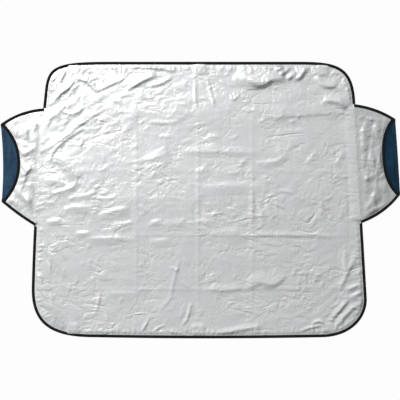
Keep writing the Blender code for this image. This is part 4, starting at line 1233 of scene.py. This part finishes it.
def add_ear(side):
    """A pocket: blue back, silver front, and the tape along its two edges and its mouth."""
    mirror = np.array([side.sign, 1.0])
    # The right pocket takes darker copies of the silver and blue cloth: painted shade.
    turned = "" if side is LEFT else "_painted_shade"

    def front_top(points):
        flat = points * mirror
        return front_low(side, flat) + POCKET_CLOTH + ear_free(side, flat) * EAR_FILM.at(points)

    def front_under(points):
        return front_low(side, points * mirror)

    def back_top(points):
        flat = points * mirror
        off = along_and_off(flat, side.hem)[1]
        hem = 0.0005 * smooth((HEM_WIDTH + 0.001 - off) / 0.0015) * smooth(off / 0.0012 + 0.3)
        return back_low(side, flat) + POCKET_CLOTH + hem + back_ripple(side, flat)

    def back_under(points):
        flat = points * mirror
        off = along_and_off(flat, side.hem)[1]
        folded = smooth((HEM_WIDTH + 0.001 - off) / 0.001) * smooth(edge_room(side, flat) / 0.004)
        return back_low(side, flat) - (BACK_LOW - 0.0001) * folded + 0.5 * back_ripple(side, flat)

    outline = tidy(resample(pocket_outline(side, side.mouth, EDGE_INSET), 0.005), 0.0006)
    front = closed_sheet(
        f"{side.name}_ear_front", outline * mirror, front_top, front_under, FINE_STEP, EAR_UNDER_STEP,
        FINISH["silver" + turned],
    )
    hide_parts(f"{side.name}_pocket_front")
    outline = tidy(resample(pocket_outline(side, side.hem, HEM_INSET), 0.005), 0.0006)
    back = closed_sheet(
        f"{side.name}_ear_back", outline * mirror, back_top, back_under, FINE_STEP, HEM_UNDER_STEP,
        FINISH["blue" + turned],
    )
    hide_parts(f"{side.name}_pocket_back")
    down_seam = side.seam_run(side.pocket.top_height, -BINDING_WIDTH)
    up_seam = side.seam_run(side.pocket.bottom_height, BINDING_WIDTH)
    tapes = []
    for edge_name, path, start, end, seed in (
        ("top", side.top, down_seam, side.hem[1] - side.hem[0], 31),
        ("bottom", side.bottom, side.hem[-2] - side.hem[-1], up_seam, 32),
    ):
        fine = resample(path, 0.004)
        placed, across = place_tape(side, fine, mitred(fine, start, end))
        name = f"{side.name}_ear_{edge_name}_tape"
        tape = add_tape(name, placed, across, level(0.0), level(POCKET_BINDING_TOP), seed + int(side.sign))
        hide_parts(f"{side.name}_pocket_{edge_name}_binding")
        tapes.append(tape)
    mouth = add_mouth_tape(side, mirror)
    add_stitches(
        f"{side.name}_seam_stitches", resample(side.seam_line(SEAM_STITCH_INSET)[1:-1], 0.02) * mirror,
        lambda p: sheet_top(p) + 0.00005, *SEAM_STITCH, FINISH["seam"], "silver_film_cloth",
    )
    return front, back, tapes, mouth


def back_ripple(side, flat):
    """Small waves in the blue layer, square to its hem."""
    along, off = along_and_off(flat, side.hem)
    fade = (1.0 - smooth(off / BACK_WAVE_REACH)) * smooth(edge_room(side, flat) / BACK_WAVE_FADE)
    wave = 0.5 + 0.5 * np.sin(along * 2 * np.pi * BACK_WAVES + 2.2 * np.sin(along * 17.0))
    return BACK_WAVE_HEIGHT * wave * fade


def add_mouth_tape(side, mirror):
    """The mouth's tape, which dips where it goes in under the pocket's edge tapes."""
    across = inner_normals(side.mouth)
    under = -FLAT_MARGIN + BINDING_WIDTH * MOUTH_TUCK
    clear = edge_room(side, side.mouth) > under
    clear &= edge_room(side, side.mouth + across * BINDING_WIDTH * 0.5) > under
    path, across = place_tape(side, side.mouth[clear], across[clear])

    def sunk(points):
        flat = points * mirror
        return front_low(side, flat) - MOUTH_DIP * (1.0 - smooth((edge_room(side, flat) + 0.001) / 0.006))

    def low(points):
        return sunk(points) - GAP - TAPE

    def high(points):
        return sunk(points) + POCKET_CLOTH + GAP + TAPE

    mouth = add_tape(f"{side.name}_mouth_tape", path, across, low, high, 41 + int(side.sign))
    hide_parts(f"{side.name}_mouth_binding")
    return mouth


def cut_size(outline):
    """Width and length of the rectangle round an outline, and the outline's area."""
    x, y = outline[:, 0], outline[:, 1]
    area = abs(np.dot(x, np.roll(y, -1)) - np.dot(y, np.roll(x, -1))) / 2
    return (float(np.ptp(x)), float(np.ptp(y))), float(area)


def tidy(outline, least):
    """A closed outline without the points that lie nearer than a length to the next."""
    gap = np.linalg.norm(np.diff(outline, axis=0, append=outline[:1]), axis=1)
    return outline[gap > least]


def add_magnet_covers():
    """The small blue patches under the sheet and the stitched squares over them."""
    made = []
    n = 17
    share = np.linspace(-1.0, 1.0, n)
    xs, ys = np.meshgrid(share, share, indexing="ij")
    edge = np.minimum(1 - np.abs(xs), 1 - np.abs(ys))
    low = 0.0011 * (1.0 - smooth(edge * 5)) + 0.00006 * (1 + np.sin(xs * 7) * np.sin(ys * 6))
    top = low + POCKET_CLOTH - 0.00015
    faces = []
    for i in range(n - 1):
        for j in range(n - 1):
            a = i * n + j
            faces.append((a, a + n, a + n + 1, a + 1))
            faces.append((a + n * n, a + 1 + n * n, a + n + 1 + n * n, a + n + n * n))
    ring = [i * n for i in range(n)] + [(n - 1) * n + j for j in range(1, n)]
    ring += [i * n + n - 1 for i in range(n - 2, -1, -1)] + [j for j in range(n - 2, 0, -1)]
    faces += [(a, b, b + n * n, a + n * n) for a, b in zip(ring, ring[1:] + ring[:1])]
    for name, place in magnet_places().items():
        plan_x, plan_y = place[0] + xs * PATCH_SIZE / 2, place[1] + ys * PATCH_SIZE / 2
        points = np.vstack([
            np.column_stack([plan_x.ravel(), plan_y.ravel(), height.ravel()]) for height in (top, low)
        ])
        patch = new_piece(f"magnet_cover_{name}", points, faces, FINISH["blue"])
        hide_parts(f"magnet_patch_{name}")
        stitches = add_stitches(
            f"magnet_stitches_{name}", resample(square(place, STITCH_SQUARE), 0.004),
            lambda p: sheet_top(p) + 0.00004, *MAGNET_STITCH, FINISH["seam"], "silver_film_cloth",
        )
        made += [patch, stitches]
    return made


def square(centre, half):
    """A closed square path round a centre."""
    return np.array(centre) + half * np.array([(-1, -1), (1, -1), (1, 1), (-1, 1), (-1, -1)])


# Finishes
def new_finish(name):
    made = bpy.data.materials.new(name)
    made.use_nodes = True
    tree = made.node_tree
    return made, tree, tree.nodes["Principled BSDF"], tree.nodes.new("ShaderNodeTexCoord").outputs


def feed(tree, target, inputs):
    """Sets a node's inputs, by a link where the value is another node's output."""
    for key, value in inputs.items():
        if isinstance(value, bpy.types.NodeSocket):
            tree.links.new(value, target.inputs[key])
        else:
            target.inputs[key].default_value = value


def add(tree, kind, inputs, output=0, **settings):
    """A new node with its settings and inputs, and the output that is used of it."""
    made = tree.nodes.new(f"ShaderNode{kind}")
    for name, value in settings.items():
        setattr(made, name, value)
    feed(tree, made, inputs)
    return made.outputs[output]


def stretched(tree, ground, scale, turn=0.0):
    return add(tree, "Mapping", {"Vector": ground, "Scale": scale, "Rotation": (0.0, 0.0, turn)})


def noise(tree, vector, scale, detail=3.0, roughness=0.5, distortion=0.0):
    sizes = {"Scale": scale, "Detail": detail, "Roughness": roughness, "Distortion": distortion}
    return add(tree, "TexNoise", {"Vector": vector, **sizes}, "Fac")


def ramp(tree, value, stops):
    made = tree.nodes.new("ShaderNodeValToRGB")
    bar = made.color_ramp
    while len(bar.elements) < len(stops):
        bar.elements.new(0.5)
    for element, (position, colour) in zip(bar.elements, stops):
        element.position = position
        element.color = (*colour, 1.0)
    feed(tree, made, {"Fac": value})
    return made.outputs["Color"]


def to_range(tree, value, low, high, from_low=0.0, from_high=1.0):
    ends = {"From Min": from_low, "From Max": from_high, "To Min": low, "To Max": high}
    return add(tree, "MapRange", {"Value": value, **ends}, "Result")


def bump(tree, height, distance, strength=1.0, before=None):
    inputs = {"Height": height, "Distance": distance, "Strength": strength}
    if before is not None:
        inputs["Normal"] = before
    return add(tree, "Bump", inputs, "Normal")


def math_of(tree, operation, first, second=0.0):
    return add(tree, "Math", {0: first, 1: second}, operation=operation)


def bands(tree, vector, scale, distortion=0.0, direction="X"):
    sizes = {"Vector": vector, "Scale": scale, "Distortion": distortion}
    return add(tree, "TexWave", sizes, "Fac", bands_direction=direction)


def times(tree, first, second):
    """One colour multiplied by another."""
    return add(tree, "Mix", {"Factor": 1.0, 6: first, 7: second}, 2, data_type="RGBA", blend_type="MULTIPLY")


def silver_finish(name, shade):
    """Bright film with a cloudy tint, painted shade that darkens it towards the right, thin creases and a
    weave. A shade below 1 darkens the whole film: painted shade too.
    """
    made, tree, shader, place = new_finish(name)
    ground = place["Object"]
    tint = ramp(tree, noise(tree, ground, 6.0), [(0.3, (0.74, 0.765, 0.775)), (0.7, (0.80, 0.805, 0.80))])
    # Painted shade: the film's colour darkens towards the right, standing in for the lamp's light falling off
    # there.
    rightward = to_range(tree, add(tree, "SeparateXYZ", {0: ground}, "X"), 0.0, 1.0, -0.9, 0.9)
    painted_shade_greys = [(place, (shade * part,) * 3) for place, part in ((0.0, 1.0), (0.5, 0.985), (0.9, 0.93))]
    painted_shade_ramp = ramp(tree, rightward, painted_shade_greys)
    specks = ramp(tree, noise(tree, ground, 240.0, 4.0), [(0.35, (0.93,) * 3), (0.65, (1.0,) * 3)])
    broad = stretched(tree, ground, (0.7, 1.3, 1.0), -0.5)
    narrow = stretched(tree, ground, (1.3, 0.8, 1.0), -0.9)
    first = bump(tree, crease_lines(tree, broad, ground, 16.0, 0.12), 0.0008)
    second = bump(tree, crease_lines(tree, narrow, ground, 34.0, 0.12), 0.0003, 1.0, first)
    feed(tree, shader, {
        "Base Color": times(tree, times(tree, tint, painted_shade_ramp), specks),
        "Roughness": to_range(tree, noise(tree, ground, 30.0, 4.0), 0.22, 0.31),
        "Metallic": 0.85,
        "Normal": bump(tree, bands(tree, ground, 160.0, 0.6), 0.00006, 0.35, second),
    })
    return made


def crease_lines(tree, vector, ground, scale, width):
    """Thin wandering valleys in a flat film, which fade in and out over the sheet."""
    off = math_of(tree, "SUBTRACT", noise(tree, vector, scale, 3.0, 0.45, 0.5), 0.5)
    valley = to_range(tree, math_of(tree, "ABSOLUTE", off), -1.0, 0.0, 0.0, width)
    strength = to_range(tree, noise(tree, ground, scale * 0.35, 2.0), 0.0, 1.0, 0.42, 0.62)
    return math_of(tree, "MULTIPLY", valley, strength)


def blue_finish(name, dark, light, shine):
    """Dark blue lining cloth with ribs and fine threads across them."""
    made, tree, shader, place = new_finish(name)
    ground = place["Object"]
    cloudy = noise(tree, stretched(tree, ground, (1.0, 0.25, 1.0)), 60.0, 4.0)
    ribs = bump(tree, bands(tree, ground, 70.0, 1.2), 0.0004, 0.6)
    feed(tree, shader, {
        "Base Color": ramp(tree, cloudy, [(0.3, dark), (0.7, light)]),
        "Roughness": to_range(tree, noise(tree, ground, 40.0), 0.42, 0.58),
        "Specular IOR Level": shine,
        "Sheen Weight": 0.05,
        "Sheen Roughness": 0.4,
        "Normal": bump(tree, bands(tree, ground, 260.0, 0.0, "Y"), 0.00008, 0.5, ribs),
    })
    return made


def tape_finish():
    """Matt black tape with ribs along its length."""
    made, tree, shader, place = new_finish("black_tape")
    ground = place["Object"]
    ribs = bump(tree, bands(tree, place["UV"], 200.0, 0.5), 0.0003, 0.7)
    shades = [(0.3, (0.006, 0.006, 0.0065)), (0.7, (0.013, 0.013, 0.0135))]
    feed(tree, shader, {
        "Base Color": ramp(tree, noise(tree, ground, 140.0), shades),
        "Roughness": 0.7,
        "Specular IOR Level": 0.15,
        "Normal": bump(tree, noise(tree, ground, 900.0, 2.0), 0.0002, 0.4, ribs),
    })
    return made


def thread_finish(name, dark, light):
    made, tree, shader, place = new_finish(name)
    ground = place["Object"]
    feed(tree, shader, {
        "Base Color": ramp(tree, noise(tree, ground, 300.0, 2.0), [(0.3, dark), (0.7, light)]),
        "Roughness": 0.6,
        "Normal": bump(tree, noise(tree, ground, 1500.0, 2.0), 0.0001, 0.5),
    })
    return made


def magnet_finish():
    made, tree, shader, place = new_finish("magnet_grey")
    ground = place["Object"]
    shades = [(0.3, (0.13, 0.13, 0.135)), (0.7, (0.20, 0.20, 0.21))]
    feed(tree, shader, {
        "Base Color": ramp(tree, noise(tree, ground, 200.0, 4.0), shades),
        "Roughness": to_range(tree, noise(tree, ground, 400.0, 4.0), 0.35, 0.55),
        "Metallic": 0.8,
        "Normal": bump(tree, noise(tree, ground, 700.0), 0.0002, 0.4),
    })
    return made


def add_floor():
    """A pale floor that shows nearly white to the camera and to gloss, and keeps a shadow."""
    mesh = bpy.data.meshes.new("floor")
    corners = [(x * FLOOR_REACH, y * FLOOR_REACH, FLOOR) for x, y in ((-1, -1), (1, -1), (1, 1), (-1, 1))]
    mesh.from_pydata(corners, [], [(0, 1, 2, 3)])
    floor = bpy.data.objects.new("floor", mesh)
    bpy.context.scene.collection.objects.link(floor)
    made, tree, shader, _ = new_finish("floor")
    feed(tree, shader, {"Base Color": (0.85, 0.85, 0.85, 1.0), "Roughness": 0.9})
    rays = tree.nodes.new("ShaderNodeLightPath").outputs
    mirrored = math_of(tree, "MAXIMUM", rays["Is Glossy Ray"], rays["Is Transmission Ray"])
    seen = math_of(tree, "MAXIMUM", rays["Is Camera Ray"], mirrored)
    share = math_of(tree, "MULTIPLY", seen, FLOOR_GLOW)
    mixed = add(tree, "MixShader", {"Fac": share, 1: shader.outputs[0], 2: add(tree, "Emission", {})})
    feed(tree, tree.nodes["Material Output"], {"Surface": mixed})
    mesh.materials.append(made)


def add_sky():
    """A sky that is brighter on the lamp's side, and of one even grey near the horizon."""
    world = bpy.data.worlds.new("studio")
    bpy.context.scene.world = world
    world.use_nodes = True
    tree = world.node_tree
    way = tree.nodes.new("ShaderNodeTexCoord").outputs["Generated"]
    facing = add(tree, "VectorMath", {0: way, 1: SKY_LIGHT}, "Value", operation="DOT_PRODUCT")
    bright = to_range(tree, facing, SKY_DARK, SKY_BRIGHT, 0.2, 0.92)
    rise = to_range(tree, add(tree, "SeparateXYZ", {0: way}, "Z"), 0.0, 1.0, 0.40, 0.80)
    strength = add(tree, "Mix", {0: rise, 2: SKY_LOW, 3: bright})
    feed(tree, tree.nodes["Background"], {"Color": (1.0, 1.0, 1.0, 1.0), "Strength": strength})


def add_lamp():
    lamp = bpy.data.lights.new("soft_lamp", "AREA")
    lamp.shape = "SQUARE"
    lamp.size = LAMP_SIZE
    lamp.energy = LAMP_POWER
    held = bpy.data.objects.new("soft_lamp", lamp)
    held.location = LAMP_PLACE
    held.rotation_euler = (-Vector(LAMP_PLACE)).to_track_quat("-Z", "Y").to_euler()
    bpy.context.scene.collection.objects.link(held)


def add_camera():
    """The camera straight above the photograph's middle."""
    camera = bpy.data.cameras.new("camera")
    camera.lens = CAMERA_LENS
    camera.sensor_width = 36.0
    camera.clip_end = 100.0
    eye = bpy.data.objects.new("camera", camera)
    middle = [(200.0 - place) * PHOTO_STEP for place in PHOTO_CENTRE]
    eye.location = (middle[0], -middle[1], CAMERA_HEIGHT)
    bpy.context.scene.collection.objects.link(eye)
    bpy.context.scene.camera = eye


bpy.context.scene.view_settings.view_transform = "Standard"
add_floor()
add_sky()
add_lamp()
add_camera()
FINISH = {
    "silver": silver_finish("silver_film_cloth", 1.0),
    # The darker copies below, for the right pocket, are the same cloths with painted shade.
    "silver_painted_shade": silver_finish("silver_film_cloth_turned", 0.80),
    "blue": blue_finish("blue_cloth", (0.005, 0.034, 0.074), (0.018, 0.088, 0.176), 0.3),
    "blue_painted_shade": blue_finish("blue_cloth_painted_shade", (0.002, 0.017, 0.036), (0.007, 0.050, 0.098), 0.12),
    "black": tape_finish(),
    "thread": thread_finish("black_thread", (0.010, 0.010, 0.011), (0.022, 0.022, 0.023)),
    "seam": thread_finish("grey_thread", (0.42, 0.43, 0.44), (0.60, 0.61, 0.62)),
    "magnet": magnet_finish(),
}
EDGE_ROOM = Raster(*SHEET_FIELD, 0.002)
nearest_edge(EDGE_ROOM, [TOP_EDGE, BOTTOM_EDGE], 0.030)
FILM = draw_sheet()
EAR_FILM = draw_ears()
for name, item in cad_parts.items():
    if name.startswith("magnet_") and "patch" not in name:
        item.data.materials.clear()
        item.data.materials.append(FINISH["magnet"])
sheet, lining = add_sheet()
edge_pieces = add_edges()
covers = add_magnet_covers()
for side in (LEFT, RIGHT):
    front, back, tapes, mouth = add_ear(side)
    flat, area = cut_size(pocket_outline(side, side.mouth, EDGE_INSET))
    flat, area = cut_size(pocket_outline(side, side.hem, HEM_INSET))
    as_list(tapes)
